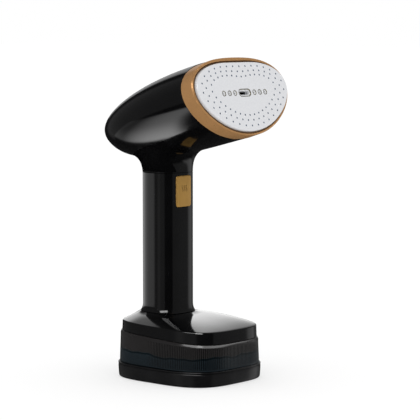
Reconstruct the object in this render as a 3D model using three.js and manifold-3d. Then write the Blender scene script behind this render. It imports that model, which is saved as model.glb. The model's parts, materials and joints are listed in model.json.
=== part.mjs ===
// Garment steamer: a hand-held steamer that stands on its water tank.
// Millimetres, +Z up, the steam plate faces -Y, origin on the floor under the middle of the tank.
import * as THREE from 'three';
import { mergeVertices } from 'three/addons/utils/BufferGeometryUtils.js';
import Module from 'manifold-3d';

const wasm = await Module();
wasm.setup();

// ---------------------------------------------------------------- driving dimensions
const GAP = 0.3;                       // clearance between neighbouring pieces
const TILT = 17;                       // the head axis rises this many degrees towards the plate
const SLOT = [0, -59.7, 235.1];        // middle of the steam plate's face
const PLATE = { w: 55.2, t: 21.3, b: 35.3, v0: 4.0, thick: 4.7 };  // egg outline: half width, rise, drop, centre
const BEZEL = { front: 2.6, back: 15.0, off: 3.1, in: 1.3, rise: 1.75, lip: 0.6 };   // the ring stands a little taller over the plate's top
const HEAD = { w: 57.7, t: 27.0, b: 38.3, len: 131.7, start: 15.0 };
const NECK_TOP = 200, WALL = 2.4;
const HANDLE = { a: 19.35, b: 17.7, n: 3.0, y: 23.0, top: 168.0, wall: 2.2, split: 11.0, flare: 1.8, flareH: 7.2 };
const FOOT_Z = 52.6, FOOT_SLOPE = 0.03;            // seam between handle and base cover
const COVER = { a: 42.8, b: 52.2, n: 3.4, y: -0.5, wall: 2.4 };
const SEAM_Z = 36.6, SEAM_SLOPE = 0.05;            // seam between base cover and tank
const RIM_Z = 45.9, RIM_SLOPE = 0.03;              // rim of the base cover
const CROWN = { back: 16, short: 20, long: 48, share: 0.87, fillet: 7 };   // crown between rim and foot
const TANK = { aTop: 43.9, bTop: 53.3, aLow: 45.3, bLow: 53.4, n: 3.4, y: -0.5, low: 12.9, floor: 7.6, wall: 2.2 };
const CAP = { a: 47.0, b: 53.9, n: 3.4, y: -0.5, top: 12.6, groove: 10.9, round: 1.4 };
const TRIGGER = { w: 17.8, h: 25.6, z: 152.7, y: 4.5, travel: 2.0 };
const BUTTON = { w: 15.0, h: 4.2, z: 43.6, travel: 2.2 };
const PUMP = { y: 23.0, low: 78.0, high: 112.0 };

// ---------------------------------------------------------------- helpers
const rad = THREE.MathUtils.degToRad;
const ct = Math.cos(rad(TILT)), st = Math.sin(rad(TILT));

function body(pos, idx) {
  const g = new THREE.BufferGeometry();
  let vol = 0;
  for (let i = 0; i < idx.length; i += 3) {
    const [a, b, c] = [idx[i] * 3, idx[i + 1] * 3, idx[i + 2] * 3];
    vol += pos[a] * (pos[b + 1] * pos[c + 2] - pos[b + 2] * pos[c + 1])
      - pos[a + 1] * (pos[b] * pos[c + 2] - pos[b + 2] * pos[c])
      + pos[a + 2] * (pos[b] * pos[c + 1] - pos[b + 1] * pos[c]);
  }
  if (vol < 0) for (let i = 0; i < idx.length; i += 3) [idx[i], idx[i + 1]] = [idx[i + 1], idx[i]];
  g.setAttribute('position', new THREE.Float32BufferAttribute(pos, 3));
  g.setIndex(idx);
  return g;
}

// A skin through closed rings of equal count, with both ends closed by a fan.
function loft(rings) {
  const n = rings[0].length, pos = [], idx = [];
  for (const r of rings) for (const p of r) pos.push(...p);
  for (let k = 0; k < rings.length - 1; k++)
    for (let i = 0; i < n; i++) {
      const a = k * n + i, b = k * n + (i + 1) % n, c = a + n, d = b + n;
      idx.push(a, b, d, a, d, c);
    }
  for (const end of [0, rings.length - 1]) {
    const r = rings[end], m = pos.length / 3, o = end * n;
    pos.push(...[0, 1, 2].map(j => r.reduce((s, p) => s + p[j], 0) / n));
    for (let i = 0; i < n; i++) end ? idx.push(o + i, o + (i + 1) % n, m) : idx.push(o + (i + 1) % n, o + i, m);
  }
  return body(pos, idx);
}

// A ring-shaped solid: the same profile carried round a closed outline.
function hoop(rings) {
  const n = rings[0].length, m = rings.length, pos = [], idx = [];
  for (const r of rings) for (const p of r) pos.push(...p);
  for (let k = 0; k < m; k++)
    for (let i = 0; i < n; i++) {
      const a = k * n + i, b = k * n + (i + 1) % n, c = ((k + 1) % m) * n + i, d = ((k + 1) % m) * n + (i + 1) % n;
      idx.push(a, b, d, a, d, c);
    }
  return body(pos, idx);
}

function solid(geo) {
  let g = geo.clone();
  g.deleteAttribute('normal');
  g.deleteAttribute('uv');
  g = mergeVertices(g, 1e-4);
  return new wasm.Manifold(new wasm.Mesh({
    numProp: 3,
    vertProperties: new Float32Array(g.attributes.position.array),
    triVerts: new Uint32Array(g.index.array),
  }));
}
function shape(man) {
  const m = man.getMesh();
  const g = new THREE.BufferGeometry();
  g.setAttribute('position', new THREE.Float32BufferAttribute(Array.from(m.vertProperties), 3));
  g.setIndex(Array.from(m.triVerts));
  return g;
}
const cut = (a, ...bs) => bs.reduce((s, b) => s.subtract(b), a);
const join = (a, ...bs) => bs.reduce((s, b) => s.add(b), a);

const boxGeo = (x0, x1, y0, y1, z0, z1) =>
  new THREE.BoxGeometry(x1 - x0, y1 - y0, z1 - z0).translate((x0 + x1) / 2, (y0 + y1) / 2, (z0 + z1) / 2);
const box = (...a) => solid(boxGeo(...a));
// Cylinder from one height to another, along Z, Y or X.
function rodGeo(r, lo, hi, axis, p, q, seg = 16, r2 = r) {
  const g = new THREE.CylinderGeometry(r2, r, hi - lo, seg).translate(0, (hi + lo) / 2, 0);
  if (axis === 'z') return g.rotateX(Math.PI / 2).translate(p, q, 0);
  if (axis === 'x') return g.rotateZ(-Math.PI / 2).translate(0, p, q);
  return g.translate(p, 0, q);
}
const rod = (...a) => solid(rodGeo(...a));

function oval(a, b, n, count, cy = 0) {
  const out = [];
  for (let i = 0; i < count; i++) {
    const f = 2 * Math.PI * i / count, c = Math.cos(f), s = Math.sin(f);
    const r = Math.pow(Math.pow(Math.abs(c / a), n) + Math.pow(Math.abs(s / b), n), -1 / n);
    out.push([r * c, cy + r * s]);
  }
  return out;
}
const eggReach = (t, b, s) => (t + b) / 2 + (t - b) / 2 * (1.25 * s - 0.25 * s * s * s);
// Egg outline in the head's own plane: u across, v up the plate.
function egg(off, count, from = PLATE) {
  const out = [];
  for (let i = 0; i < count; i++) {
    const f = 2 * Math.PI * i / count, c = Math.cos(f), s = Math.sin(f);
    const r = 1 / Math.hypot(c / (from.w + off), s / eggReach(from.t + off, from.b + off, s));
    out.push([r * c, PLATE.v0 + r * s]);
  }
  return out;
}
const at = (outline, z) => outline.map(([x, y]) => [x, y, typeof z === 'function' ? z(x, y) : z]);
const eggRing = (w, off, count = 56) => at(egg(off, count), -w);
const eggHoop = (profile, count) => hoop(profile.map(([w, off, rise = 0]) => at(egg(off, count, { ...PLATE, t: PLATE.t + rise }), -w)));
const eggPlug = (profile, count) => loft(profile.map(([w, off]) => eggRing(w, off, count)));

const lathe = (pts, seg = 14) => new THREE.LatheGeometry(pts.map(([r, z]) => new THREE.Vector2(r, z)), seg).rotateX(Math.PI / 2);
const screwGeo = (len, head = 2.4, shank = 1.05) =>
  lathe([[0, 0], [head, 0], [head, 1.0], [head * 0.7, 1.7], [shank, 1.7], [shank, len], [0, len]], 12);

function disc(r, seg, hole = 0) {
  const s = new THREE.Shape();
  for (let i = 0; i < seg; i++) {
    const f = 2 * Math.PI * i / seg;
    i ? s.lineTo(r * Math.cos(f), r * Math.sin(f)) : s.moveTo(r, 0);
  }
  s.closePath();
  if (hole) {
    const h = new THREE.Path();
    for (let i = 0; i < seg; i++) {
      const f = -2 * Math.PI * i / seg;
      i ? h.lineTo(hole * Math.cos(f), hole * Math.sin(f)) : h.moveTo(hole, 0);
    }
    h.closePath();
    s.holes.push(h);
  }
  return s;
}
const tube = (pts, r, steps, seg = 8, hole = 0) =>
  new THREE.ExtrudeGeometry(disc(r, seg, hole), {
    steps, bevelEnabled: false, curveSegments: 1,
    extrudePath: new THREE.CatmullRomCurve3(pts.map(p => new THREE.Vector3(...p))),
  });
class Helix extends THREE.Curve {
  constructor(r, len, turns) { super(); Object.assign(this, { r, len, turns }); }
  getPoint(t, v = new THREE.Vector3()) {
    const f = 2 * Math.PI * this.turns * t;
    return v.set(this.r * Math.cos(f), this.r * Math.sin(f), this.len * t);
  }
}
const coil = (r, wire, len, turns) => new THREE.ExtrudeGeometry(disc(wire, 5), {
  steps: Math.round(turns * 9), bevelEnabled: false, curveSegments: 1, extrudePath: new Helix(r, len - 2 * wire, turns),
}).translate(0, 0, wire);

function roundRect(w, h, r) {
  const s = new THREE.Shape(), x = w / 2, y = h / 2;
  s.moveTo(-x + r, -y).lineTo(x - r, -y).quadraticCurveTo(x, -y, x, -y + r).lineTo(x, y - r)
    .quadraticCurveTo(x, y, x - r, y).lineTo(-x + r, y).quadraticCurveTo(-x, y, -x, y - r)
    .lineTo(-x, -y + r).quadraticCurveTo(-x, -y, -x + r, -y);
  return s;
}
const slab = (s, depth, curve = 4) => new THREE.ExtrudeGeometry(s, { depth, bevelEnabled: false, curveSegments: curve });

// ---------------------------------------------------------------- the head's outer form
// Head axes: u across, v up the plate, w backwards from the plate's face.
function headAxes(x, y, z) {
  const dy = y - SLOT[1], dz = z - SLOT[2];
  return [x, dy * st + dz * ct, dy * ct - dz * st];
}
function headForm(x, y, z) {
  const [u, v, w] = headAxes(x, y, z);
  const t = Math.max(0, (w - HEAD.start) / HEAD.len);
  const q = v - (PLATE.v0 + 7.3 * t - 7.7 * t * t);
  const r = Math.hypot(u, q) + 1e-9, s = q / r, c = u / r;
  const reach = 1 / Math.hypot(c / HEAD.w, s / eggReach(HEAD.t, HEAD.b, s));
  return (r / reach) ** 2 + Math.pow(t, 2.25 - 0.4 * s + 0.35 * s * s) - 1;
}
function handleForm(x, y) {
  return Math.pow(Math.pow(Math.abs(x / HANDLE.a), HANDLE.n) + Math.pow(Math.abs((y - HANDLE.y) / HANDLE.b), HANDLE.n), 1 / HANDLE.n) - 1;
}
function distance(f, x, y, z) {
  const e = 0.02, g = [f(x + e, y, z) - f(x - e, y, z), f(x, y + e, z) - f(x, y - e, z), f(x, y, z + e) - f(x, y, z - e)];
  return f(x, y, z) / Math.max(Math.hypot(...g) / (2 * e), 1e-3);
}
// Head and neck in one smooth skin: a soft union of the two forms, the neck ending inside the head.
function housing(x, y, z) {
  const a = distance(headForm, x, y, z), b = Math.max(distance(handleForm, x, y, z), z - NECK_TOP), k = 13.5;
  const h = Math.max(k - Math.abs(a - b), 0) / k;
  return Math.min(a, b) - h * h * k / 4;
}

// Net of a signed field on a regular grid, each corner drawn onto the surface.
function net(f, lo, hi, step) {
  const n = [0, 1, 2].map(i => Math.ceil((hi[i] - lo[i]) / step) + 1);
  const id = (i, j, k) => (k * n[1] + j) * n[0] + i;
  const p = (i, j, k) => [lo[0] + i * step, lo[1] + j * step, lo[2] + k * step];
  const val = new Float64Array(n[0] * n[1] * n[2]);
  for (let k = 0; k < n[2]; k++) for (let j = 0; j < n[1]; j++) for (let i = 0; i < n[0]; i++) val[id(i, j, k)] = f(...p(i, j, k));
  const cell = new Map(), pos = [], idx = [];
  const vertex = (i, j, k) => {
    const key = id(i, j, k);
    if (cell.has(key)) return cell.get(key);
    const s = [0, 0, 0];
    let m = 0;
    for (let e = 0; e < 12; e++) {
      const ax = e >> 2, b = e & 1, c = (e >> 1) & 1, o = [0, 0, 0];
      o[(ax + 1) % 3] = b;
      o[(ax + 2) % 3] = c;
      const a = [i + o[0], j + o[1], k + o[2]], d = [...a];
      d[ax] += 1;
      const fa = val[id(...a)], fd = val[id(...d)];
      if ((fa < 0) === (fd < 0)) continue;
      const t = fa / (fa - fd), pa = p(...a);
      pa[ax] += t * step;
      pa.forEach((x, q) => { s[q] += x; });
      m++;
    }
    const x = s.map(q => q / m), x0 = [...x];
    for (let it = 0; it < 4; it++) {
      const e = 0.05, v = f(...x);
      const g = [0, 1, 2].map(q => { const u = [...x], w = [...x]; u[q] += e; w[q] -= e; return (f(...u) - f(...w)) / (2 * e); });
      const gg = g[0] ** 2 + g[1] ** 2 + g[2] ** 2 + 1e-9;
      for (let q = 0; q < 3; q++) x[q] = Math.min(x0[q] + 0.45 * step, Math.max(x0[q] - 0.45 * step, x[q] - v * g[q] / gg));
    }
    cell.set(key, pos.length / 3);
    pos.push(...x);
    return pos.length / 3 - 1;
  };
  for (let k = 0; k < n[2] - 1; k++) for (let j = 0; j < n[1] - 1; j++) for (let i = 0; i < n[0] - 1; i++)
    for (let ax = 0; ax < 3; ax++) {
      const a = [i, j, k], d = [i, j, k];
      d[ax] += 1;
      const fa = val[id(...a)], fd = val[id(...d)];
      if ((fa < 0) === (fd < 0)) continue;
      const b = (ax + 1) % 3, c = (ax + 2) % 3;
      if (a[b] < 1 || a[c] < 1) continue;
      const at4 = [[0, 0], [-1, 0], [-1, -1], [0, -1]].map(([p1, p2]) => { const o = [...a]; o[b] += p1; o[c] += p2; return vertex(...o); });
      if (fa >= 0) at4.reverse();
      const P = at4.map(q => [pos[q * 3], pos[q * 3 + 1], pos[q * 3 + 2]]);
      const dist = (s1, s2) => Math.hypot(s1[0] - s2[0], s1[1] - s2[1], s1[2] - s2[2]);
      if (dist(P[0], P[2]) < dist(P[1], P[3])) idx.push(at4[0], at4[1], at4[2], at4[0], at4[2], at4[3]);
      else idx.push(at4[0], at4[1], at4[3], at4[1], at4[2], at4[3]);
    }
  return body(pos, idx);
}

const headMatrix = new THREE.Matrix4().makeRotationX(rad(90 - TILT)).setPosition(...SLOT);
const inHead = geo => solid(geo.applyMatrix4(headMatrix));

// ---------------------------------------------------------------- head shell
const NET = 7.0;
const netLo = [-62.4, -95, 144], netHi = [62.5, 90, 276];
const ended = off => (x, y, z) => Math.max(housing(x, y, z) + off, 152 - z, 5 - headAxes(x, y, z)[2]);
const headOuter = solid(net(ended(0), netLo, netHi, NET));
const headInner = solid(net(ended(WALL), netLo, netHi, NET));
const behindBezel = inHead(boxGeo(-80, 80, -80, 80, -200, -(BEZEL.back + GAP)));
const aboveNeck = box(-80, 80, -120, 120, HANDLE.top + 0.15, 300);
const neckPlug = off => at(oval(HANDLE.a + off, HANDLE.b + off, HANDLE.n, 32, HANDLE.y), 0);
const prism = (outline, z0, z1) => solid(loft([outline.map(([x, y]) => [x, y, z0]), outline.map(([x, y]) => [x, y, z1])]));
const screwAt = [[-11.5, 31], [11.5, 31]];
const neckFlange = cut(prism(neckPlug(-1.2), HANDLE.top + 0.15, HANDLE.top + 3.2), box(-8, 8, 10.5, 37, 160, 180),
  ...screwAt.map(([x, y]) => rod(1.5, 160, 180, 'z', x, y, 10)));
const headShell = headOuter.intersect(behindBezel).intersect(aboveNeck).subtract(headInner).add(neckFlange);

// ---------------------------------------------------------------- handle shells
const footZ = (x, y) => FOOT_Z + FOOT_SLOPE * (y - HANDLE.y);
const handleOutline = off => oval(HANDLE.a + off, HANDLE.b + off, HANDLE.n, 40, HANDLE.y);
const handleTube = solid(loft([...[1, 0.72, 0.45, 0.2].map(k => at(handleOutline(HANDLE.flare * k ** 2), (x, y) => footZ(x, y) + GAP + HANDLE.flareH * (1 - k))),
  at(handleOutline(0), (x, y) => footZ(x, y) + GAP + HANDLE.flareH), at(handleOutline(0), HANDLE.top - 0.15)]))
  .subtract(prism(handleOutline(-HANDLE.wall), 40, 190));
const bosses = [];
for (const [x, y] of screwAt) for (const [z0, z1] of [[62.6, 76], [156.8, HANDLE.top - 0.15]]) {
  const sx = Math.sign(x);
  bosses.push(cut(join(rod(3.2, z0, z1, 'z', x, y, 12), box(Math.min(x, sx * 16.6), Math.max(x, sx * 16.6), y - 1, y + 1, z0, z1)),
    rod(1.35, z0 - 1, z1 + 1, 'z', x, y, 8)));
}
const rails = [-1, 1].flatMap(s => [[22.2, 24.7], [28.9, 30.4]].map(([y0, y1]) => box(Math.min(s * 13.9, s * 17.4), Math.max(s * 13.9, s * 17.4), y0, y1, 133.5, 157)));
const inletHole = rod(5.0, 30, 50, 'y', 0, 70, 20);
const handleRear = cut(join(handleTube.intersect(box(-40, 40, HANDLE.split + 0.15, 60, 40, 190)), ...bosses, ...rails), inletHole);
const triggerHole = solid(slab(roundRect(TRIGGER.w + 2 * GAP, TRIGGER.h + 2 * GAP, 2.3), 12).rotateX(Math.PI / 2).translate(0, 12, TRIGGER.z));
const handleFront = cut(handleTube.intersect(box(-40, 40, 0, HANDLE.split - 0.15, 40, 190)), triggerHole);

// ---------------------------------------------------------------- trigger
const trigger = join(
  solid(new THREE.ExtrudeGeometry(roundRect(TRIGGER.w - 1.2, TRIGGER.h - 1.2, 1.6), { depth: 3.0, bevelEnabled: true, bevelThickness: 0.6, bevelSize: 0.6, bevelSegments: 1, curveSegments: 4 })
    .translate(0, 0, -3.6).rotateX(Math.PI / 2).translate(0, TRIGGER.y, TRIGGER.z)),
  box(-5, 5, 8.0, 9.6, TRIGGER.z - TRIGGER.h / 2 - 2.0, TRIGGER.z + TRIGGER.h / 2 + 2.0),
  box(-3, 3, 9.0, 14.8, 154, 160),
  rod(1.5, 9.0, 13.0, 'y', 0, 145, 10));

// ---------------------------------------------------------------- switch carrier, board, switch
const carrier = cut(join(box(-14.8, 14.8, 25.2, 26.6, 134, 168), rod(3.6, 19.4, 25.5, 'y', 0, 145, 14)), rod(1.6, 18, 28, 'y', 0, 145, 10),
  box(-15, -8.6, 24, 28, 157.2, 169), box(8.6, 15, 24, 28, 157.2, 169));
const board = cut(box(-13.2, 13.2, 27.0, 28.6, 134.5, 156), rod(1.5, 26, 30, 'y', -10, 138, 10), rod(1.5, 26, 30, 'y', 10, 138, 10));
const microswitch = join(box(-3.2, 3.2, 18.4, 24.9, 150.6, 163.4), box(-1.2, 1.2, 17.2, 18.6, 156, 158));

// ---------------------------------------------------------------- pump
const pumpAxis = [0, PUMP.y];
const pumpBody = cut(join(rod(8, PUMP.low, PUMP.high, 'z', ...pumpAxis, 24), rod(2.3, PUMP.high - 1, PUMP.high + 7, 'z', ...pumpAxis, 12)),
  rod(4.4, PUMP.low - 1, PUMP.high - 3, 'z', ...pumpAxis, 20), rod(1.0, PUMP.high - 4, PUMP.high + 8, 'z', ...pumpAxis, 8));
const pumpCap = cut(join(rod(8, PUMP.low - 4.3, PUMP.low - GAP, 'z', ...pumpAxis, 24), rod(2.3, PUMP.low - 10, PUMP.low - 4, 'z', ...pumpAxis, 12)),
  rod(1.0, PUMP.low - 11, PUMP.low, 'z', ...pumpAxis, 8));
const pumpCoil = cut(rod(12, 84.2, 105.6, 'z', ...pumpAxis, 24), rod(8.3, 83, 107, 'z', ...pumpAxis, 24));
const pumpMount = (z0, z1) => cut(rod(14.9, z0, z1, 'z', ...pumpAxis, 24), rod(8.3, z0 - 1, z1 + 1, 'z', ...pumpAxis, 24));
const plunger = cut(rod(4.0, 78.1, 98, 'z', ...pumpAxis, 20), rod(1.2, 77, 99, 'z', ...pumpAxis, 8));

// ---------------------------------------------------------------- base cover
const seamZ = (x, y) => SEAM_Z + SEAM_SLOPE * y;
const rimZ = (x, y) => RIM_Z + RIM_SLOPE * y;
const coverOutline = off => oval(COVER.a + off, COVER.b + off, COVER.n, 40, COVER.y);
const footOutline = off => oval(HANDLE.a + off, HANDLE.b + off, HANDLE.n, 40, HANDLE.y);
function coverRings(inset, bottom) {
  const rings = [at(coverOutline(-inset), bottom), at(coverOutline(-inset - 0.3), (x, y) => rimZ(x, y) - 1.2 - inset)];
  rings.push(at(coverOutline(-inset - 1.0), (x, y) => rimZ(x, y) - 0.2 - inset));
  const from = coverOutline(-inset - 1.0), to = footOutline(HANDLE.flare - inset);
  for (const s of inset ? [0.25, 0.6, 1] : [0.1, 0.22, 0.36, 0.52, 0.7, 0.86, 1]) {
    rings.push(from.map(([x, y], i) => {
      const px = x + (to[i][0] - x) * s, py = y + (to[i][1] - y) * s;
      const high = footZ(px, py), low = rimZ(px, py) - 0.2;
      // domed in front and behind, nearly straight at the sides, with a hollow fillet round the foot
      const run = Math.hypot(to[i][0] - x, to[i][1] - y);
      const back = Math.min(1, Math.max(0, (CROWN.back - run) / 5)), share = CROWN.share + (1 - CROWN.share) * back;
      const e = Math.min(1, Math.max(back, (run - CROWN.short) / (CROWN.long - CROWN.short)));
      const power = 1.1 + 1.1 * e * e * (3 - 2 * e), near = Math.max(0, 1 - run * (1 - s) / CROWN.fillet);
      return [px, py, low + (high - low) * (share * (1 - (1 - s) ** power) + (1 - share) * near * near) - inset];
    }));
  }
  return rings;
}
const coverOuter = solid(loft(coverRings(0, (x, y) => seamZ(x, y) + 0.15)));
const innerRings = coverRings(COVER.wall, 20);
innerRings.push(innerRings[innerRings.length - 1].map(([x, y, z]) => [x, y, z + 8]));
const coverInner = solid(loft(innerRings));
const spigot = cut(prism(footOutline(-HANDLE.wall - GAP), 47, 62.2), prism(footOutline(-HANDLE.wall - 2.4), 40, 59.6),
  ...screwAt.map(([x, y]) => rod(2.8, 50, 59.6, 'z', x, y, 12)),
  box(-8, 8, 10.5, 37, 40, 80), ...screwAt.map(([x, y]) => rod(1.5, 40, 80, 'z', x, y, 10)));
const spigotSkirt = cut(prism(footOutline(0.6), 46.4, 51.2), prism(footOutline(-HANDLE.wall - 2.4), 40, 60));
const buttonHole = box(-BUTTON.w / 2 - GAP, BUTTON.w / 2 + GAP, 44, 60, BUTTON.z - BUTTON.h / 2 - GAP, BUTTON.z + BUTTON.h / 2 + GAP);
const ceilingPosts = [[-29, -34], [29, -34], [-29, 33.5], [29, 33.5]];
const baseCover = cut(join(coverOuter.subtract(coverInner), spigot, spigotSkirt,
  ...ceilingPosts.map(([x, y]) => rod(3.2, 37.6, 58, 'z', x, y, 12).intersect(coverOuter.translate([0, 0, -1.0])))), buttonHole,
  ...ceilingPosts.map(([x, y]) => rod(1.25, 30, 43, 'z', x, y, 8)));

// Plate that closes the tank when the steamer stands on it, with its seal, suction tube and filter.
const innerOutline = off => oval(TANK.aTop - TANK.wall + off, TANK.bTop - TANK.wall + off, TANK.n, 40, TANK.y);
const ceiling = cut(join(prism(innerOutline(-0.9), 29.8, 31.6), prism(innerOutline(-3.7), 31.4, 34.2),
  ...ceilingPosts.map(([x, y]) => rod(3.2, 31, 37.3, 'z', x, y, 12)),
  rod(5.2, 24, 41.5, 'z', ...pumpAxis, 18)), ...ceilingPosts.map(([x, y]) => rod(1.4, 28, 40, 'z', x, y, 8)), rod(3.3, 20, 36, 'z', ...pumpAxis, 14),
  rod(1.2, 20, 45, 'z', ...pumpAxis, 8));
const nipple = cut(rod(2.3, 41.0, 47, 'z', ...pumpAxis, 12), rod(1.2, 40, 48, 'z', ...pumpAxis, 8));
const tankSeal = cut(prism(innerOutline(-0.35), 31.9, 33.7), prism(innerOutline(-3.4), 30, 35));
const suctionTube = cut(rod(3.0, 12.6, 33, 'z', ...pumpAxis, 14), rod(1.7, 12, 34, 'z', ...pumpAxis, 10));
const suctionFilter = cut(rod(6.4, 8.4, 14.6, 'z', ...pumpAxis, 18), rod(3.3, 12.2, 15, 'z', ...pumpAxis, 14), ...[0, 60, 120].map(d =>
  solid(boxGeo(-7, 7, -0.7, 0.7, 9.4, 11.4).rotateZ(rad(d)).translate(0, PUMP.y, 0))));

// ---------------------------------------------------------------- tank, bottom cap and pad
const tankOutline = (f, off) => oval(TANK.aLow + (TANK.aTop - TANK.aLow) * f + off, TANK.bLow + (TANK.bTop - TANK.bLow) * f + off, TANK.n, 40, TANK.y);
const tankOuter = solid(loft([at(tankOutline(0, -5.4), 5.2), at(tankOutline(0, -5.2), TANK.low), at(tankOutline(0, 0), TANK.low),
  at(tankOutline(0.93, 0), (x, y) => seamZ(x, y) - 1.6), at(tankOutline(1, -0.5), (x, y) => seamZ(x, y) - 0.15)]));
const tankInner = solid(loft([at(tankOutline(0, -8.6), TANK.floor), at(tankOutline(0, -7.4), TANK.floor + 1.2), at(tankOutline(0, -7.4), TANK.low + 1.4),
  at(tankOutline(0.1, -TANK.wall), TANK.low + 4.6), at(tankOutline(1, -TANK.wall), 36), at(tankOutline(1.1, -TANK.wall), 44)]));
const tank = cut(tankOuter, tankInner);

const capOutline = off => oval(CAP.a + off, CAP.b + off, CAP.n, 40, CAP.y);
const capBody = solid(loft([[0.3, -CAP.round], [0.8, -0.6], [2.2, -0.3], [6.4, -0.1], [CAP.groove, 0], [CAP.groove, -0.7], [CAP.groove + 0.6, -0.7],
  [CAP.groove + 0.6, 0.1], [CAP.top - 0.4, 0.1], [CAP.top, -0.5]].map(([z, off]) => at(capOutline(off), z))));
const cap = cut(capBody, prism(tankOutline(0, -4.9), 4.9, 20), prism(capOutline(-10.7), -1, 1.9));
const pad = prism(capOutline(-11), 0, 1.6);

// ---------------------------------------------------------------- release button
const release = join(
  solid(slab(roundRect(BUTTON.w, BUTTON.h, 1.2), 6.0).rotateX(Math.PI / 2).translate(0, 52.4, BUTTON.z)),
  box(-9.4, 9.4, 45.4, 47.0, BUTTON.z - BUTTON.h / 2 - 1.0, BUTTON.z + BUTTON.h / 2 + 0.6),
  box(-4, 4, 45.4, 47.0, 35.4, BUTTON.z), box(-4, 4, 46.5, 47.7, 35.4, 36.6));

// ---------------------------------------------------------------- plate, bezel, steam chamber (head axes)
const nozzles = [12, 18.6, 25.4].flatMap(u => [-u, u]);
function around(w, t, b, count, phase) {
  const path = new THREE.CatmullRomCurve3(egg(0, 72, { w, t, b }).map(([u, v]) => new THREE.Vector3(u, v, 0)), true);
  path.arcLengthDivisions = 720;
  return Array.from({ length: count }, (_, i) => path.getPointAt((0.25 + (i + phase) / count) % 1));
}
const dimples = [...around(50.0, 17.7, 31.1, 32, 0), ...around(45.3, 13.5, 26.6, 32, 0.5), ...around(39.2, 9.2, 22.4, 32, 0)];
const stadium = (len, wide, seg = 5) => {
  const s = new THREE.Shape(), h = (len - wide) / 2, r = wide / 2;
  s.moveTo(-h, -r).lineTo(h, -r).absarc(h, 0, r, -Math.PI / 2, Math.PI / 2, false).lineTo(-h, r).absarc(-h, 0, r, Math.PI / 2, 1.5 * Math.PI, false);
  return s;
};
const plate = cut(solid(eggPlug([[0, -1.3], [0.4, -0.4], [1.4, 0], [PLATE.thick, 0]], 48)),
  solid(slab(stadium(11.4, 2.9), 12).translate(0, 0, -10)), solid(slab(stadium(15.4, 6.6), 2).translate(0, 0, -0.5)),
  ...nozzles.map(u => rod(1.0, -10, 2, 'z', u, 0, 8)), ...nozzles.map(u => rod(1.2, -0.7, 0.02, 'z', u, 0, 10, 2.3)),
  ...dimples.map(p => rod(0.62, -0.8, 1, 'z', p.x, p.y, 4)));
const bezel = eggHoop([[BEZEL.back, BEZEL.off, BEZEL.rise], [3.8, BEZEL.off, BEZEL.rise], [BEZEL.front, 2.0, BEZEL.rise], [BEZEL.front, BEZEL.in, BEZEL.lip], [12.6, BEZEL.in, BEZEL.lip],
  [12.6, -3.6, BEZEL.lip], [BEZEL.back, -3.6, BEZEL.lip]], 48);
const seal = eggHoop([[3.4, 0.3], [3.4, 1.0], [7.4, 1.0], [7.4, -4], [PLATE.thick + GAP, -4], [PLATE.thick + GAP, 0.3]], 48);
const chamber = cut(solid(eggPlug([[7.7, 0.7], [12.3, 0.7], [12.3, -9.9], [26, -9.9]], 48)), solid(eggPlug([[7, -7], [9.6, -7]], 28)),
  solid(eggPlug([[13.5, -13], [27, -13]], 28)), ...[-24, -8, 8, 24].map(u => rod(1.6, -16, -8, 'z', u, 4, 8)));
const gasket = eggHoop([[26.3, -10.4], [26.3, -12.6], [27.2, -12.6], [27.2, -10.4]], 28);
const chamberCover = join(solid(eggPlug([[27.5, -10], [29.6, -10]], 36)), cut(rod(2.3, -38, -29, 'z', 0, -8, 12), rod(1.1, -39, -28, 'z', 0, -8, 8)));
const heaterPts = [...Array(37).keys()].map(i => egg(-5.2, 40)[(32 + i) % 40]).map(([u, v]) => [u, v, -19.2]);
const heater = tube([[heaterPts[0][0] - 1.5, heaterPts[0][1], -35], [heaterPts[0][0] - 1, heaterPts[0][1], -26], ...heaterPts.filter((_, i) => i % 2 === 0),
  [heaterPts[36][0] + 1, heaterPts[36][1], -26], [heaterPts[36][0] + 1.5, heaterPts[36][1], -35]], 2.7, 46, 6);
const thermostat = join(rod(8, -33.5, -29.9, 'z', 22, 6, 20), rod(5.5, -38, -33, 'z', 22, 6, 16));
const fuse = rod(2.4, -28, -14, 'x', 6, -32.6, 10);

// ---------------------------------------------------------------- hoses and leads
const onHead = (u, v, w) => new THREE.Vector3(u, v, -w).applyMatrix4(headMatrix).toArray();
const pressureHose = tube([[0, 23, 113.2], [0, 23, 116], [0, 23, 119], [0, 27.6, 125.5], [0, 33.4, 132.5], [0, 34.2, 143], [0, 34.2, 158], [0, 32.6, 172], [0, 26, 188], [0, 8, 203], onHead(0, -8.5, 48), onHead(0, -8, 41), onHead(0, -8, 35), onHead(0, -8, 30.2)],
  3.7, 26, 6, 2.85);
const suctionHose = tube([[0, 23, 42.0], [0, 23, 45], [0, 23, 48], [0.8, 23.3, 54], [-0.8, 22.7, 62], [0, 23, 67.5], [0, 23, 70.5], [0, 23, 73.2]], 3.7, 16, 6, 2.85);
const leadA = tube([[-6.4, 30.2, 150], [-6.3, 32.4, 157], [-6.1, 32.6, 172], [-10, 22, 190], onHead(-16, -10, 62), onHead(heaterPts[36][0] + 1.4, heaterPts[36][1] + 1, 47), onHead(heaterPts[36][0] + 1.5, heaterPts[36][1], 35.6)], 1.2, 20, 5);
const leadB = tube([[6.4, 30.2, 150], [6.3, 32.4, 157], [6.1, 32.6, 172], [10, 22, 190], onHead(16, -10, 62), onHead(heaterPts[0][0] - 1.4, heaterPts[0][1] + 1, 47), onHead(heaterPts[0][0] - 1.5, heaterPts[0][1], 35.6)], 1.2, 20, 5);

const inlet = cut(solid(new THREE.LatheGeometry([[0, 36.4], [7, 36.4], [7, 38.0], [4.7, 38.0], [4.7, 41.1], [6.6, 41.1], [6.2, 44.4], [0, 44.4]].map(([r, z]) => new THREE.Vector2(r, z)), 20)
  .translate(0, 0, 70)), rod(3.3, 30, 50, 'y', 0, 70, 16));

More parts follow.
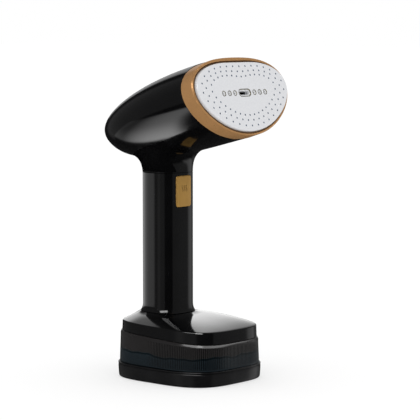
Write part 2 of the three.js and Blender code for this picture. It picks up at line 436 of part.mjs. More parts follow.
// ---------------------------------------------------------------- materials and assembly
const finish = {
  black: { color: 0x121316, roughness: 0.12, metalness: 0.0 },
  gold: { color: 0xc79a63, roughness: 0.32, metalness: 1.0 },
  trigger_gold: { color: 0xb08a4c, roughness: 0.38, metalness: 1.0 },
  plate: { color: 0xdcdddf, roughness: 0.28, metalness: 0.15 },
  seal: { color: 0x18181a, roughness: 0.7, metalness: 0.0 },
  tank: { color: 0x2a2d31, roughness: 0.1, metalness: 0.0 },
  metal: { color: 0xb4b6ba, roughness: 0.35, metalness: 1.0 },
  steel: { color: 0xc8cacd, roughness: 0.25, metalness: 1.0 },
  white: { color: 0xe4e4e2, roughness: 0.5, metalness: 0.0 },
  copper: { color: 0xa8663c, roughness: 0.4, metalness: 1.0 },
  board: { color: 0x2f6a45, roughness: 0.5, metalness: 0.0 },
  hose: { color: 0xd8d8d4, roughness: 0.45, metalness: 0.0 },
  dark: { color: 0x202226, roughness: 0.55, metalness: 0.0 },
  lead: { color: 0x7a2a24, roughness: 0.5, metalness: 0.0 },
};
const steamer = new THREE.Group();
steamer.name = 'garment_steamer';
const headGroup = new THREE.Group();
headGroup.name = 'head_axes';
headGroup.position.set(...SLOT);
headGroup.rotation.x = rad(90 - TILT);
steamer.add(headGroup);

function add(name, thing, look, parent = steamer, place) {
  const geo = thing.isBufferGeometry ? thing : shape(thing);
  const mesh = new THREE.Mesh(geo, new THREE.MeshStandardMaterial(finish[look]));
  mesh.name = name;
  if (place) place(mesh);
  parent.add(mesh);
}

add('base_pad', pad, 'seal');
add('base_cap', cap, 'black');
add('tank_body', tank, 'tank');

add('base_cover', baseCover, 'black');
add('tank_ceiling', join(ceiling, nipple), 'dark');
add('tank_seal', tankSeal, 'seal');
add('suction_tube', suctionTube, 'hose');
add('suction_filter', suctionFilter, 'white');
ceilingPosts.forEach(([x, y], i) => add(`ceiling_screw_${i + 1}`, screwGeo(9.6), 'steel', steamer, m => m.position.set(x, y, 27.8)));
add('handle_rear', handleRear, 'black');
add('handle_front', handleFront, 'black');
add('head_shell', headShell, 'black');
add('bezel_ring', bezel, 'gold', headGroup);
add('plate_seal', seal, 'seal', headGroup);
add('steam_plate', plate, 'plate', headGroup);
add('steam_chamber', chamber, 'metal', headGroup);
add('chamber_gasket', gasket, 'seal', headGroup);
add('chamber_cover', chamberCover, 'metal', headGroup);
add('heating_element', heater, 'steel', headGroup);
add('thermostat', thermostat, 'metal', headGroup);
add('thermal_fuse', fuse, 'white', headGroup);
add('pressure_hose', pressureHose, 'hose');
add('suction_hose', suctionHose, 'hose');
add('heater_lead_left', leadA, 'lead');
add('heater_lead_right', leadB, 'lead');
add('pump_body', pumpBody, 'white');
add('pump_end_cap', pumpCap, 'white');
add('pump_coil', pumpCoil, 'copper');
add('pump_mount_lower', pumpMount(79.2, 83.6), 'seal');
add('pump_mount_upper', pumpMount(106.2, 110.4), 'seal');
add('pump_plunger', plunger, 'steel');
add('plunger_spring', coil(3.0, 0.45, 10.2, 4.5), 'steel', steamer, m => m.position.set(0, PUMP.y, 98.4));
add('switch_carrier', carrier, 'dark');
add('circuit_board', board, 'board');
add('microswitch', microswitch, 'seal');
screwAt.forEach(([x, y], i) => add(`neck_screw_${i + 1}`, screwGeo(12), 'steel', steamer, m => { m.position.set(x, y, HANDLE.top + 5.1); m.rotation.x = Math.PI; }));
screwAt.forEach(([x, y], i) => add(`foot_screw_${i + 1}`, screwGeo(15), 'steel', steamer, m => m.position.set(x, y, 57.5)));
add('cord_inlet', inlet, 'seal');
add('trigger', trigger, 'trigger_gold');
add('trigger_spring', coil(2.4, 0.35, 9.1, 4), 'steel', steamer, m => { m.position.set(0, 19.1, 145); m.rotation.x = Math.PI / 2; });
add('release_button', release, 'dark');
add('release_spring', coil(1.7, 0.3, 5.2, 4), 'steel', steamer, m => { m.position.set(0, 45.2, BUTTON.z); m.rotation.x = Math.PI / 2; });

export default steamer;
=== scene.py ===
import json
import math

import bmesh
import bpy
import numpy as np
from mathutils import Matrix, Vector

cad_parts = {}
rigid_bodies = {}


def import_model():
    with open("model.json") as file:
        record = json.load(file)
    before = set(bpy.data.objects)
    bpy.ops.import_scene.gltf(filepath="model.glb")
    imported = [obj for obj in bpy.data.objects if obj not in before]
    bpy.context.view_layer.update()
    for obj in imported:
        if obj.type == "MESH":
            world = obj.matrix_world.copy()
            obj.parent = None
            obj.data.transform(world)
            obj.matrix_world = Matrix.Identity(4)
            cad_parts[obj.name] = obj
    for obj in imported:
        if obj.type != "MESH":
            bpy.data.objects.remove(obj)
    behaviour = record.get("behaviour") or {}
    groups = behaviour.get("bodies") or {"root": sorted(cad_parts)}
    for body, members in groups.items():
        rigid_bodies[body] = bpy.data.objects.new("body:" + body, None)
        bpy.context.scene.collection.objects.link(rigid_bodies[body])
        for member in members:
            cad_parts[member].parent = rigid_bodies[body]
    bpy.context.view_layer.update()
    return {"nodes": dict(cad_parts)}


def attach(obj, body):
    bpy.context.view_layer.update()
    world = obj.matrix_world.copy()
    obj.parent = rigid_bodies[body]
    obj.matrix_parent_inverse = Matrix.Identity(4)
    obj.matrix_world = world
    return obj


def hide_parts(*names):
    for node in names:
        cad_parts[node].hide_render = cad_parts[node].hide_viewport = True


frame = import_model()
NODES = frame["nodes"]

# ------------------------------------------------------------------ dimensions, in millimetres
MM = 0.001
TILT = math.radians(17.0)
ST, CT = math.sin(TILT), math.cos(TILT)
SLOT = np.array([0.0, -59.7, 235.1])
PLATE_W, PLATE_T, PLATE_B, PLATE_V0 = 55.2, 21.3, 35.3, 4.0
RING_RISE, LIP_RISE = 1.75, 0.6
HEAD_W, HEAD_T, HEAD_B, HEAD_LEN, HEAD_START = 57.7, 27.0, 38.3, 131.7, 15.0
HA, HB, HN, HY, HTOP = 19.35, 17.7, 3.0, 23.0, 168.0
FLARE, FLARE_H = 1.8, 7.2
FOOT_Z, FOOT_SLOPE = 52.6, 0.03
CA, CB, CN, CY = 42.8, 52.2, 3.4, -0.5
CROWN_BACK, CROWN_SHORT, CROWN_LONG, CROWN_SHARE, CROWN_FILLET = 16.0, 20.0, 48.0, 0.87, 7.0
SEAM_Z, SEAM_SLOPE, RIM_Z, RIM_SLOPE = 36.6, 0.05, 45.9, 0.03
TA0, TB0, TA1, TB1, TN, TY = 45.3, 53.4, 43.9, 53.3, 3.4, -0.5
KA, KB, KN, KY = 47.0, 53.9, 3.4, -0.5
TRIG_W, TRIG_H, TRIG_Z, TRIG_Y = 17.8, 25.6, 152.7, 4.5
BUT_W, BUT_H, BUT_Z = 15.0, 4.2, 43.6


def seam_z(y):
    return SEAM_Z + SEAM_SLOPE * y


def rim_z(y):
    return RIM_Z + RIM_SLOPE * y


def foot_z(y):
    return FOOT_Z + FOOT_SLOPE * (y - HY)


# ------------------------------------------------------------------ mesh helpers
def make(name, verts, faces, sharp=32.0):
    me = bpy.data.meshes.new(name)
    me.from_pydata((np.asarray(verts, float) * MM).tolist(), [], [tuple(int(i) for i in f) for f in faces])
    me.validate()
    bm = bmesh.new()
    bm.from_mesh(me)
    bmesh.ops.remove_doubles(bm, verts=bm.verts, dist=1e-7)
    bmesh.ops.recalc_face_normals(bm, faces=bm.faces)
    bm.to_mesh(me)
    bm.free()
    me.shade_smooth()
    me.set_sharp_from_angle(angle=math.radians(sharp))
    ob = bpy.data.objects.new(name, me)
    bpy.context.scene.collection.objects.link(ob)
    return ob


def skin(rings, close=False, ends=(True, True)):
    """Quads between rings of equal count; close joins the last ring to the first, ends puts a cap on each open end."""
    n, m = len(rings[0]), len(rings)
    verts = np.concatenate([np.asarray(r, float) for r in rings])
    faces = []
    for k in range(m if close else m - 1):
        a0, b0 = k * n, ((k + 1) % m) * n
        for i in range(n):
            j = (i + 1) % n
            faces.append((a0 + i, a0 + j, b0 + j, b0 + i))
    if not close:
        extra = []
        for e, (on, base) in enumerate(zip(ends, (0, (m - 1) * n))):
            if not on:
                continue
            c = len(verts) + len(extra)
            extra.append(verts[base : base + n].mean(axis=0))
            for i in range(n):
                j = (i + 1) % n
                faces.append((base + j, base + i, c) if e == 0 else (base + i, base + j, c))
        if extra:
            verts = np.concatenate([verts, np.array(extra)])
    return verts, faces


def oval(a, b, n, count, cy=0.0, angles=None):
    f = np.linspace(0, 2 * math.pi, count, endpoint=False) if angles is None else angles
    c, s = np.cos(f), np.sin(f)
    r = (np.abs(c / a) ** n + np.abs(s / b) ** n) ** (-1.0 / n)
    return np.stack([r * c, cy + r * s], axis=1)


def even_angles(a, b, n, count):
    """Angles at which the oval's outline is cut into equal lengths."""
    f = np.linspace(0, 2 * math.pi, 8001)
    p = oval(a, b, n, 0, 0.0, f)
    d = np.concatenate([[0], np.cumsum(np.hypot(*np.diff(p, axis=0).T))])
    return np.interp(np.linspace(0, d[-1], count, endpoint=False), d, f), d[-1]


def lift(xy, z):
    zz = z(xy[:, 1]) if callable(z) else np.full(len(xy), float(z))
    return np.column_stack([xy, zz])


def reach(t, b, s):
    return (t + b) / 2 + (t - b) / 2 * (1.25 * s - 0.25 * s**3)


def egg(off, count, w=PLATE_W, t=PLATE_T, b=PLATE_B, angles=None):
    f = np.linspace(0, 2 * math.pi, count, endpoint=False) if angles is None else angles
    c, s = np.cos(f), np.sin(f)
    r = 1 / np.hypot(c / (w + off), s / reach(t + off, b + off, s))
    return np.stack([r * c, PLATE_V0 + r * s], axis=1)


def from_head(u, v, w):
    """Head axes (u across, v up the plate, w backwards) to the frame."""
    return np.stack([np.asarray(u, float) + 0 * np.asarray(v), SLOT[1] + v * ST + w * CT, SLOT[2] + v * CT - w * ST], axis=-1)


def egg_ring(w, off, count=256, rise=0.0):
    p = egg(off, count, t=PLATE_T + rise)
    return from_head(p[:, 0], p[:, 1], np.full(count, float(w)))


def set_normals(ob, fn, limit=35.0):
    """Corner normals from an exact normal field; corners whose face disagrees keep their own."""
    me = ob.data
    nl, nv = len(me.loops), len(me.vertices)
    co = np.empty(nv * 3)
    me.vertices.foreach_get("co", co)
    co = co.reshape(-1, 3) / MM
    want, ok = fn(co)
    vi = np.empty(nl, int)
    me.loops.foreach_get("vertex_index", vi)
    now = np.empty(nl * 3)
    me.corner_normals.foreach_get("vector", now)
    now = now.reshape(-1, 3)
    pn = np.empty(len(me.polygons) * 3)
    me.polygons.foreach_get("normal", pn)
    pn = pn.reshape(-1, 3)
    tot = np.empty(len(me.polygons), int)
    me.polygons.foreach_get("loop_total", tot)
    face = np.repeat(np.arange(len(tot)), tot)
    w = want[vi]
    sign = np.sign((pn[face] * w).sum(1))
    agree = ok[vi] & (np.abs((pn[face] * w).sum(1)) > math.cos(math.radians(limit)))
    out = np.where(agree[:, None], w * sign[:, None], now)
    me.normals_split_custom_set(out.tolist())


def boolean(ob, cutter, op="DIFFERENCE", sharp=32.0):
    m = ob.modifiers.new("cut", "BOOLEAN")
    m.operation, m.object, m.solver = op, cutter, "EXACT"
    dg = bpy.context.evaluated_depsgraph_get()
    me = bpy.data.meshes.new_from_object(ob.evaluated_get(dg))
    old = ob.data
    ob.modifiers.clear()
    ob.data = me
    bpy.data.meshes.remove(old)
    bpy.data.objects.remove(cutter)
    me.shade_smooth()
    me.set_sharp_from_angle(angle=math.radians(sharp))


def rounded(w, h, r, seg=8):
    pts = []
    for cx, cy, a in ((w / 2 - r, h / 2 - r, 0), (-w / 2 + r, h / 2 - r, 90), (-w / 2 + r, -h / 2 + r, 180), (w / 2 - r, -h / 2 + r, 270)):
        pts += [(cx + r * math.cos(math.radians(a + 90 * k / seg)), cy + r * math.sin(math.radians(a + 90 * k / seg))) for k in range(seg + 1)]
    return np.array(pts)


def turned(profile, centre, axis="z", count=48):
    """A turned solid: profile points (radius, height), from axis to axis."""
    rings = []
    for r, h in profile:
        f = np.linspace(0, 2 * math.pi, count, endpoint=False)
        a, b, c = r * np.cos(f), r * np.sin(f), np.full(count, float(h))
        rings.append(np.stack({"z": [a, b, c], "y": [a, c, -b], "x": [c, a, b]}[axis], axis=1) + np.asarray(centre, float))
    return skin(rings)


# ------------------------------------------------------------------ materials
def material(name):
    m = bpy.data.materials.new(name)
    m.use_nodes = True
    nt = m.node_tree
    b = nt.nodes["Principled BSDF"]
    return m, nt, b


def link(nt, a, b):
    nt.links.new(a, b)


def coords(nt):
    return nt.nodes.new("ShaderNodeTexCoord").outputs["Object"]


def noise(nt, vec, scale, detail=3.0, rough=0.55, stretch=None):
    n = nt.nodes.new("ShaderNodeTexNoise")
    n.inputs["Scale"].default_value = scale
    n.inputs["Detail"].default_value = detail
    n.inputs["Roughness"].default_value = rough
    if stretch:
        mp = nt.nodes.new("ShaderNodeMapping")
        mp.inputs["Scale"].default_value = stretch
        link(nt, vec, mp.inputs["Vector"])
        vec = mp.outputs["Vector"]
    link(nt, vec, n.inputs["Vector"])
    return n.outputs["Fac"]


def spread(nt, fac, lo, hi, a=0.3, b=0.7):
    r = nt.nodes.new("ShaderNodeMapRange")
    r.inputs["From Min"].default_value, r.inputs["From Max"].default_value = a, b
    r.inputs["To Min"].default_value, r.inputs["To Max"].default_value = lo, hi
    link(nt, fac, r.inputs["Value"])
    return r.outputs["Result"]


def ramp(nt, fac, stops):
    r = nt.nodes.new("ShaderNodeValToRGB")
    e = r.color_ramp.elements
    while len(e) < len(stops):
        e.new(0.5)
    for el, (p, c) in zip(e, stops):
        el.position, el.color = p, (*c, 1.0)
    link(nt, fac, r.inputs["Fac"])
    return r.outputs["Color"]


def bump(nt, height, strength, distance, normal=None):
    b = nt.nodes.new("ShaderNodeBump")
    b.inputs["Strength"].default_value, b.inputs["Distance"].default_value = strength, distance
    link(nt, height, b.inputs["Height"])
    if normal:
        link(nt, normal, b.inputs["Normal"])
    return b.outputs["Normal"]


def srgb(r, g, b):
    return tuple((c / 255 / 12.92) if c / 255 <= 0.04045 else (((c / 255) + 0.055) / 1.055) ** 2.4 for c in (r, g, b))


def moulded(name, light, dark, rough=(0.35, 0.5), scale=90.0, grain=900.0, depth=0.00004, strength=0.25, metallic=0.0, coat=0.0, ior=1.5, spots=(0.35, 0.65)):
    """Moulded or cast stuff: a faint mottle of two tones, rougher and smoother patches, and a fine surface grain."""
    m, nt, b = material(name)
    v = coords(nt)
    link(nt, ramp(nt, noise(nt, v, scale, 4.0), [(spots[0], dark), (spots[1], light)]), b.inputs["Base Color"])
    link(nt, spread(nt, noise(nt, v, scale * 2.7, 5.0), *rough), b.inputs["Roughness"])
    link(nt, bump(nt, noise(nt, v, grain, 2.0), strength, depth), b.inputs["Normal"])
    b.inputs["Metallic"].default_value = metallic
    b.inputs["IOR"].default_value = ior
    b.inputs["Coat Weight"].default_value = coat
    return m


# Polished black housing: deep colour, a barely rippled skin and a few dull wipe marks.
def gloss_black():
    m, nt, b = material("gloss_black_plastic")
    v = coords(nt)
    link(nt, ramp(nt, noise(nt, v, 38.0, 3.0), [(0.3, (0.0016, 0.0016, 0.0018)), (0.7, (0.0030, 0.0030, 0.0033))]), b.inputs["Base Color"])
    marks = noise(nt, v, 22.0, 6.0, 0.7, (1.0, 1.0, 0.35))
    fine = noise(nt, v, 420.0, 3.0)
    add = nt.nodes.new("ShaderNodeMath")
    add.operation = "MULTIPLY_ADD"
    link(nt, spread(nt, marks, 0.0, 0.05, 0.45, 0.8), add.inputs[0])
    add.inputs[1].default_value = 1.0
    link(nt, spread(nt, fine, 0.070, 0.105), add.inputs[2])
    link(nt, add.outputs[0], b.inputs["Roughness"])
    link(nt, bump(nt, noise(nt, v, 260.0, 2.0), 0.10, 0.00002), b.inputs["Normal"])
    b.inputs["IOR"].default_value = 1.5
    return m


def satin_gold(name, light, dark, rough, stretch, metallic):
    """Anodised metal with a fine brushed line along the ring; convex edges are painted paler, a painted edge highlight.
    """
    m, nt, b = material(name)
    v = coords(nt)
    tone = ramp(nt, noise(nt, v, 46.0, 4.0), [(0.35, dark), (0.68, light)])
    # painted highlight: the colour turns paler where the surface is sharply convex (Pointiness), standing in for the
    # light on rounded edges
    geo = nt.nodes.new("ShaderNodeNewGeometry")
    edge = spread(nt, geo.outputs["Pointiness"], 0.0, 1.0, 0.53, 0.60)
    mix = nt.nodes.new("ShaderNodeMix")
    mix.data_type = "RGBA"
    link(nt, edge, mix.inputs[0])
    link(nt, tone, mix.inputs[6])
    mix.inputs[7].default_value = (*[min(1.0, c * 1.35) for c in light], 1.0)
    link(nt, mix.outputs[2], b.inputs["Base Color"])
    lines = noise(nt, v, 1.0, 3.0, 0.6, stretch)
    link(nt, spread(nt, lines, rough[0], rough[1]), b.inputs["Roughness"])
    link(nt, bump(nt, lines, 0.12, 0.00003), b.inputs["Normal"])
    b.inputs["Metallic"].default_value = metallic
    return m


# Steam plate: pale ceramic coat over aluminium, with a faint speckle.
def ceramic():
    m, nt, b = material("plate_ceramic_coat")
    v = coords(nt)
    link(nt, ramp(nt, noise(nt, v, 1100.0, 2.0), [(0.30, srgb(219, 220, 223)), (0.50, srgb(223, 224, 227)), (0.75, srgb(227, 228, 230))]), b.inputs["Base Color"])
    link(nt, spread(nt, noise(nt, v, 160.0, 5.0), 0.30, 0.40), b.inputs["Roughness"])
    link(nt, bump(nt, noise(nt, v, 1500.0, 2.0), 0.05, 0.00002), b.inputs["Normal"])
    return m


def smoked():
    """Smoked clear wall, with painted shade in the rib grooves and a painted view of the water behind it: bluish below
    the water line, with a dark painted meniscus line.
    """
    m, nt, b = material("smoked_tank_plastic")
    v = coords(nt)
    rib = nt.nodes.new("ShaderNodeAttribute")
    rib.attribute_name = "rib_depth"
    wet = nt.nodes.new("ShaderNodeAttribute")
    wet.attribute_name = "above_water"
    mottle = noise(nt, v, 30.0, 3.0)
    dry = ramp(nt, mottle, [(0.3, (0.0098, 0.0090, 0.0090)), (0.7, (0.0130, 0.0122, 0.0122))])
    # painted view through the wall: bluish below the water line, then a dark band standing for the meniscus shade, then
    # plain smoke above
    band = spread(nt, wet.outputs["Fac"], 0.0, 1.0, -4.0, 2.0)
    under = ramp(nt, band, [(0.0, (0.0052, 0.0084, 0.0108)), (0.42, (0.0062, 0.0100, 0.0126)), (0.46, (0.0001, 0.0024, 0.0040)), (0.66, (0.0001, 0.0030, 0.0046)), (0.70, (0.0125, 0.0132, 0.0138))])
    wetmix = nt.nodes.new("ShaderNodeMix")
    wetmix.data_type = "RGBA"
    link(nt, spread(nt, wet.outputs["Fac"], 0.0, 1.0, 0.30, 0.55), wetmix.inputs[0])
    link(nt, under, wetmix.inputs[6])
    link(nt, dry, wetmix.inputs[7])
    # painted shade: the colour darkens toward the bottom of each rib groove
    ribs = nt.nodes.new("ShaderNodeMix")
    ribs.data_type, ribs.blend_type = "RGBA", "MULTIPLY"
    ribs.inputs[0].default_value = 1.0
    link(nt, wetmix.outputs[2], ribs.inputs[6])
    link(nt, ramp(nt, rib.outputs["Fac"], [(0.1, (1.55, 1.55, 1.55)), (0.9, (0.30, 0.30, 0.30))]), ribs.inputs[7])
    link(nt, ribs.outputs[2], b.inputs["Base Color"])
    link(nt, spread(nt, noise(nt, v, 140.0, 4.0), 0.13, 0.20), b.inputs["Roughness"])
    b.inputs["Specular IOR Level"].default_value = 0.35
    link(nt, bump(nt, noise(nt, v, 500.0, 2.0), 0.08, 0.00002), b.inputs["Normal"])
    b.inputs["Transmission Weight"].default_value = 0.04
    b.inputs["IOR"].default_value = 1.46
    return m


def water():
    m, nt, b = material("water_in_tank")
    v = coords(nt)
    link(nt, ramp(nt, noise(nt, v, 24.0, 3.0), [(0.3, (0.10, 0.22, 0.26)), (0.7, (0.15, 0.30, 0.34))]), b.inputs["Base Color"])
    link(nt, spread(nt, noise(nt, v, 90.0, 3.0), 0.03, 0.08), b.inputs["Roughness"])
    link(nt, bump(nt, noise(nt, v, 55.0, 2.0), 0.3, 0.0004), b.inputs["Normal"])
    b.inputs["Transmission Weight"].default_value = 0.35
    b.inputs["IOR"].default_value = 1.33
    return m


GLOSS = gloss_black()
GOLD = satin_gold("satin_gold_ring", (0.640, 0.340, 0.135), (0.560, 0.295, 0.115), (0.26, 0.36), (300.0, 2600.0, 2600.0), 0.45)
TRIGGER = satin_gold("satin_gold_trigger", (0.490, 0.275, 0.064), (0.440, 0.245, 0.054), (0.34, 0.44), (2400.0, 2400.0, 220.0), 0.35)
PLATE = ceramic()
SMOKED = smoked()
WATER = water()
RUBBER = moulded("black_rubber_seal", (0.016, 0.016, 0.017), (0.009, 0.009, 0.010), (0.55, 0.75), 120.0, 1400.0, 0.00006, 0.5)
CAPMAT = moulded("black_base_plastic", (0.0052, 0.0052, 0.0058), (0.0034, 0.0034, 0.0038), (0.17, 0.27), 60.0, 700.0, 0.00003, 0.15)
DARK = moulded("dark_moulded_plastic", (0.020, 0.021, 0.023), (0.012, 0.013, 0.014), (0.38, 0.52), 100.0, 1500.0, 0.00005, 0.35)
CAST = moulded("cast_aluminium", (0.62, 0.63, 0.65), (0.42, 0.43, 0.45), (0.32, 0.52), 130.0, 1100.0, 0.00008, 0.5, metallic=1.0)
STEEL = moulded("bright_steel", (0.72, 0.73, 0.75), (0.55, 0.56, 0.58), (0.18, 0.32), 160.0, 2400.0, 0.00003, 0.3, metallic=1.0)
WHITE = moulded("white_engineering_plastic", (0.66, 0.66, 0.64), (0.55, 0.55, 0.53), (0.35, 0.5), 90.0, 1200.0, 0.00004, 0.3)
HOSE = moulded("silicone_hose", (0.62, 0.61, 0.57), (0.50, 0.49, 0.46), (0.28, 0.42), 70.0, 800.0, 0.00005, 0.35)
LEAD = moulded("red_lead_sleeve", (0.26, 0.045, 0.035), (0.18, 0.03, 0.025), (0.4, 0.55), 90.0, 900.0, 0.00005, 0.35)


def winding():
    """Enamelled copper wire laid in layers round the coil."""
    m, nt, b = material("copper_winding")
    v = coords(nt)
    w = nt.nodes.new("ShaderNodeTexWave")
    w.wave_type, w.bands_direction = "BANDS", "Z"
    w.inputs["Scale"].default_value = 620.0
    w.inputs["Distortion"].default_value = 0.25
    link(nt, v, w.inputs["Vector"])
    link(nt, ramp(nt, w.outputs["Fac"], [(0.1, (0.16, 0.055, 0.02)), (0.7, (0.52, 0.21, 0.09))]), b.inputs["Base Color"])
    link(nt, spread(nt, noise(nt, v, 200.0, 3.0), 0.28, 0.45), b.inputs["Roughness"])
    link(nt, bump(nt, w.outputs["Fac"], 0.7, 0.0002), b.inputs["Normal"])
    b.inputs["Metallic"].default_value = 0.85
    return m


def board_green():
    """Printed board: solder mask with copper tracks under it."""
    m, nt, b = material("board_solder_mask")
    v = coords(nt)
    k = nt.nodes.new("ShaderNodeTexBrick")
    k.inputs["Scale"].default_value = 260.0
    k.inputs["Mortar Size"].default_value = 0.03
    k.inputs["Color1"].default_value = (0.012, 0.085, 0.032, 1)
    k.inputs["Color2"].default_value = (0.018, 0.110, 0.042, 1)
    k.inputs["Mortar"].default_value = (0.07, 0.20, 0.08, 1)
    link(nt, v, k.inputs["Vector"])
    link(nt, k.outputs["Color"], b.inputs["Base Color"])
    link(nt, spread(nt, noise(nt, v, 300.0, 3.0), 0.25, 0.4), b.inputs["Roughness"])
    link(nt, bump(nt, k.outputs["Fac"], 0.3, 0.00005), b.inputs["Normal"])
    return m


COPPER, BOARD = winding(), board_green()


def dress(ob, mat, body, slot, *nodes):
    ob.data.materials.clear()
    ob.data.materials.append(mat)
    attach(ob, body)
    if nodes:
        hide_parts(*nodes)
    return ob


# ------------------------------------------------------------------ camera
AZ, PITCH = math.radians(49.2), math.radians(5.55)
fwd = Vector((math.sin(AZ) * math.cos(PITCH), math.cos(AZ) * math.cos(PITCH), -math.sin(PITCH)))
right = Vector((math.cos(AZ), -math.sin(AZ), 0.0))
up = right.cross(fwd)
cam = bpy.data.cameras.new("camera")
cam.sensor_width, cam.lens = 36.0, 36.0 * 2000.0 / 420.0
cam.clip_start, cam.clip_end = 0.05, 60.0
camera = bpy.data.objects.new("camera", cam)
bpy.context.scene.collection.objects.link(camera)
camera.matrix_world = Matrix(((right.x, up.x, -fwd.x, -1.22307), (right.y, up.y, -fwd.y, -1.07874), (right.z, up.z, -fwd.z, 0.29597), (0, 0, 0, 1)))
bpy.context.scene.camera = camera

# ------------------------------------------------------------------ head shell
E = 0.02


def head_form(p):
    x, y, z = p[..., 0], p[..., 1], p[..., 2]
    dy, dz = y - SLOT[1], z - SLOT[2]
    v, w = dy * ST + dz * CT, dy * CT - dz * ST
    t = np.maximum(0.0, (w - HEAD_START) / HEAD_LEN)
    q = v - (PLATE_V0 + 7.3 * t - 7.7 * t * t)
    r = np.hypot(x, q) + 1e-9
    s, c = q / r, x / r
    far = 1 / np.hypot(c / HEAD_W, s / reach(HEAD_T, HEAD_B, s))
    return (r / far) ** 2 + t ** (2.25 - 0.4 * s + 0.35 * s * s) - 1


def handle_form(p):
    return (np.abs(p[..., 0] / HA) ** HN + np.abs((p[..., 1] - HY) / HB) ** HN) ** (1 / HN) - 1


def away(f, p):
    g = [f(p + d) - f(p - d) for d in (np.array([E, 0, 0]), np.array([0, E, 0]), np.array([0, 0, E]))]
    return f(p) / np.maximum(np.sqrt(sum(k * k for k in g)) / (2 * E), 1e-3)


def housing(p):
    a, b = away(head_form, p), np.maximum(away(handle_form, p), p[..., 2] - 200.0)
    h = np.maximum(13.5 - np.abs(a - b), 0) / 13.5
    return np.minimum(a, b) - h * h * 13.5 / 4


def slope(p, e=0.05):
    g = np.stack([housing(p + np.eye(3)[k] * e) - housing(p - np.eye(3)[k] * e) for k in range(3)], axis=-1)
    return g / (2 * e)


def head_skin(step):
    lo, hi = np.array([-61.3, -84.0, 158.0]), np.array([61.4, 88.0, 275.0])
    n = np.ceil((hi - lo) / step).astype(int) + 1
    ax = [lo[k] + np.arange(n[k]) * step for k in range(3)]
    grid = np.stack(np.meshgrid(*ax, indexing="ij"), axis=-1)
    val = np.maximum(np.maximum(housing(grid), 161.0 - grid[..., 2]), 8.0 - ((grid[..., 1] - SLOT[1]) * CT - (grid[..., 2] - SLOT[2]) * ST))
    inside = val < 0
    m = n - 1
    total = np.zeros((*m, 3))
    hits = np.zeros(m)
    eye = np.eye(3)
    for k in range(3):
        o1, o2 = [j for j in range(3) if j != k]
        a = [slice(None)] * 3
        b = [slice(None)] * 3
        a[k], b[k] = slice(0, -1), slice(1, None)
        va, vb = val[tuple(a)], val[tuple(b)]
        cross = inside[tuple(a)] != inside[tuple(b)]
        with np.errstate(divide="ignore", invalid="ignore"):
            t = np.where(cross, va / (va - vb), 0.0)
        pt = grid[tuple(a)] + t[..., None] * step * eye[k]
        pt = np.where(cross[..., None], pt, 0.0)
        for d1 in (0, 1):
            for d2 in (0, 1):
                s = [slice(None)] * 3
                s[o1] = slice(d1, d1 + m[o1])
                s[o2] = slice(d2, d2 + m[o2])
                total += pt[tuple(s)]
                hits += cross[tuple(s)]
    cell = hits > 0
    ids = -np.ones(m, int)
    ids[cell] = np.arange(cell.sum())
    pos = total[cell] / hits[cell][:, None]
    faces = []
    for k in range(3):
        b1, b2 = (k + 1) % 3, (k + 2) % 3
        a = [slice(None)] * 3
        b = [slice(None)] * 3
        a[k], b[k] = slice(0, -1), slice(1, None)
        ina, inb = inside[tuple(a)], inside[tuple(b)]
        where = np.argwhere(ina != inb)
        where = where[(where[:, b1] >= 1) & (where[:, b2] >= 1) & (where[:, b1] < m[b1]) & (where[:, b2] < m[b2])]
        q = []
        for p1, p2 in ((0, 0), (-1, 0), (-1, -1), (0, -1)):
            i = where.copy()
            i[:, b1] += p1
            i[:, b2] += p2
            q.append(ids[i[:, 0], i[:, 1], i[:, 2]])
        q = np.stack(q, axis=1)
        flip = ~ina[where[:, 0], where[:, 1], where[:, 2]]
        q[flip] = q[flip][:, ::-1]
        faces.append(q)
    return pos, np.concatenate(faces)


def plane_cut(bm, point, normal):
    geom = bm.verts[:] + bm.edges[:] + bm.faces[:]
    bmesh.ops.bisect_plane(bm, geom=geom, dist=1e-8, plane_co=point, plane_no=normal, clear_outer=True)


def head_shell():
    pos, faces = head_skin(1.5)
    start = pos.copy()
    for _ in range(5):
        g = slope(pos)
        pos = pos - housing(pos)[:, None] * g / ((g * g).sum(1) + 1e-9)[:, None]
        pos = np.clip(pos, start - 0.7, start + 0.7)
    me = bpy.data.meshes.new("head_housing")
    me.from_pydata((pos * MM).tolist(), [], faces.tolist())
    bm = bmesh.new()
    bm.from_mesh(me)
    plane_cut(bm, Vector(from_head(0.0, 0.0, 15.35) * MM), Vector((0, -CT, ST)))
    plane_cut(bm, Vector((0, 0, 0.16812)), Vector((0, 0, -1)))
    bmesh.ops.delete(bm, geom=[v for v in bm.verts if not v.link_faces], context="VERTS")
    bmesh.ops.recalc_face_normals(bm, faces=bm.faces)
    bm.verts.ensure_lookup_table()
    top = max(bm.faces, key=lambda f: f.calc_center_median().z)
    if top.normal.z < 0:
        bmesh.ops.reverse_faces(bm, faces=bm.faces)
    # wall: an inner copy set back along the exact normal, and a rim round each open edge
    co = np.array([v.co[:] for v in bm.verts]) / MM
    g = slope(co)
    nrm = g / np.linalg.norm(g, axis=1)[:, None]
    bm.verts.index_update()
    inner = [bm.verts.new((co[i] - 2.3 * nrm[i]) * MM) for i in range(len(co))]
    outer = list(bm.verts)[: len(co)]
    rim = [e for e in bm.edges if len(e.link_faces) == 1]
    for f in list(bm.faces):
        bm.faces.new([inner[v.index] for v in reversed(f.verts)])
    for e in rim:
        loop = e.link_loops[0]
        a, b = loop.vert, loop.link_loop_next.vert
        bm.faces.new([b, a, inner[a.index], inner[b.index]])
    bm.to_mesh(me)
    bm.free()
    me.shade_smooth()
    me.set_sharp_from_angle(angle=math.radians(40))
    ob = bpy.data.objects.new("head_housing", me)
    bpy.context.scene.collection.objects.link(ob)

    def field(p):
        k = slope(p, 0.3)
        k /= np.linalg.norm(k, axis=1)[:, None] + 1e-12
        return k, np.abs(housing(p)) < 0.2

    set_normals(ob, field, 30)
    return ob


dress(head_shell(), GLOSS, "steamer", "gloss_black", "head_shell")

# ------------------------------------------------------------------ handle halves
SPLIT = 11.0


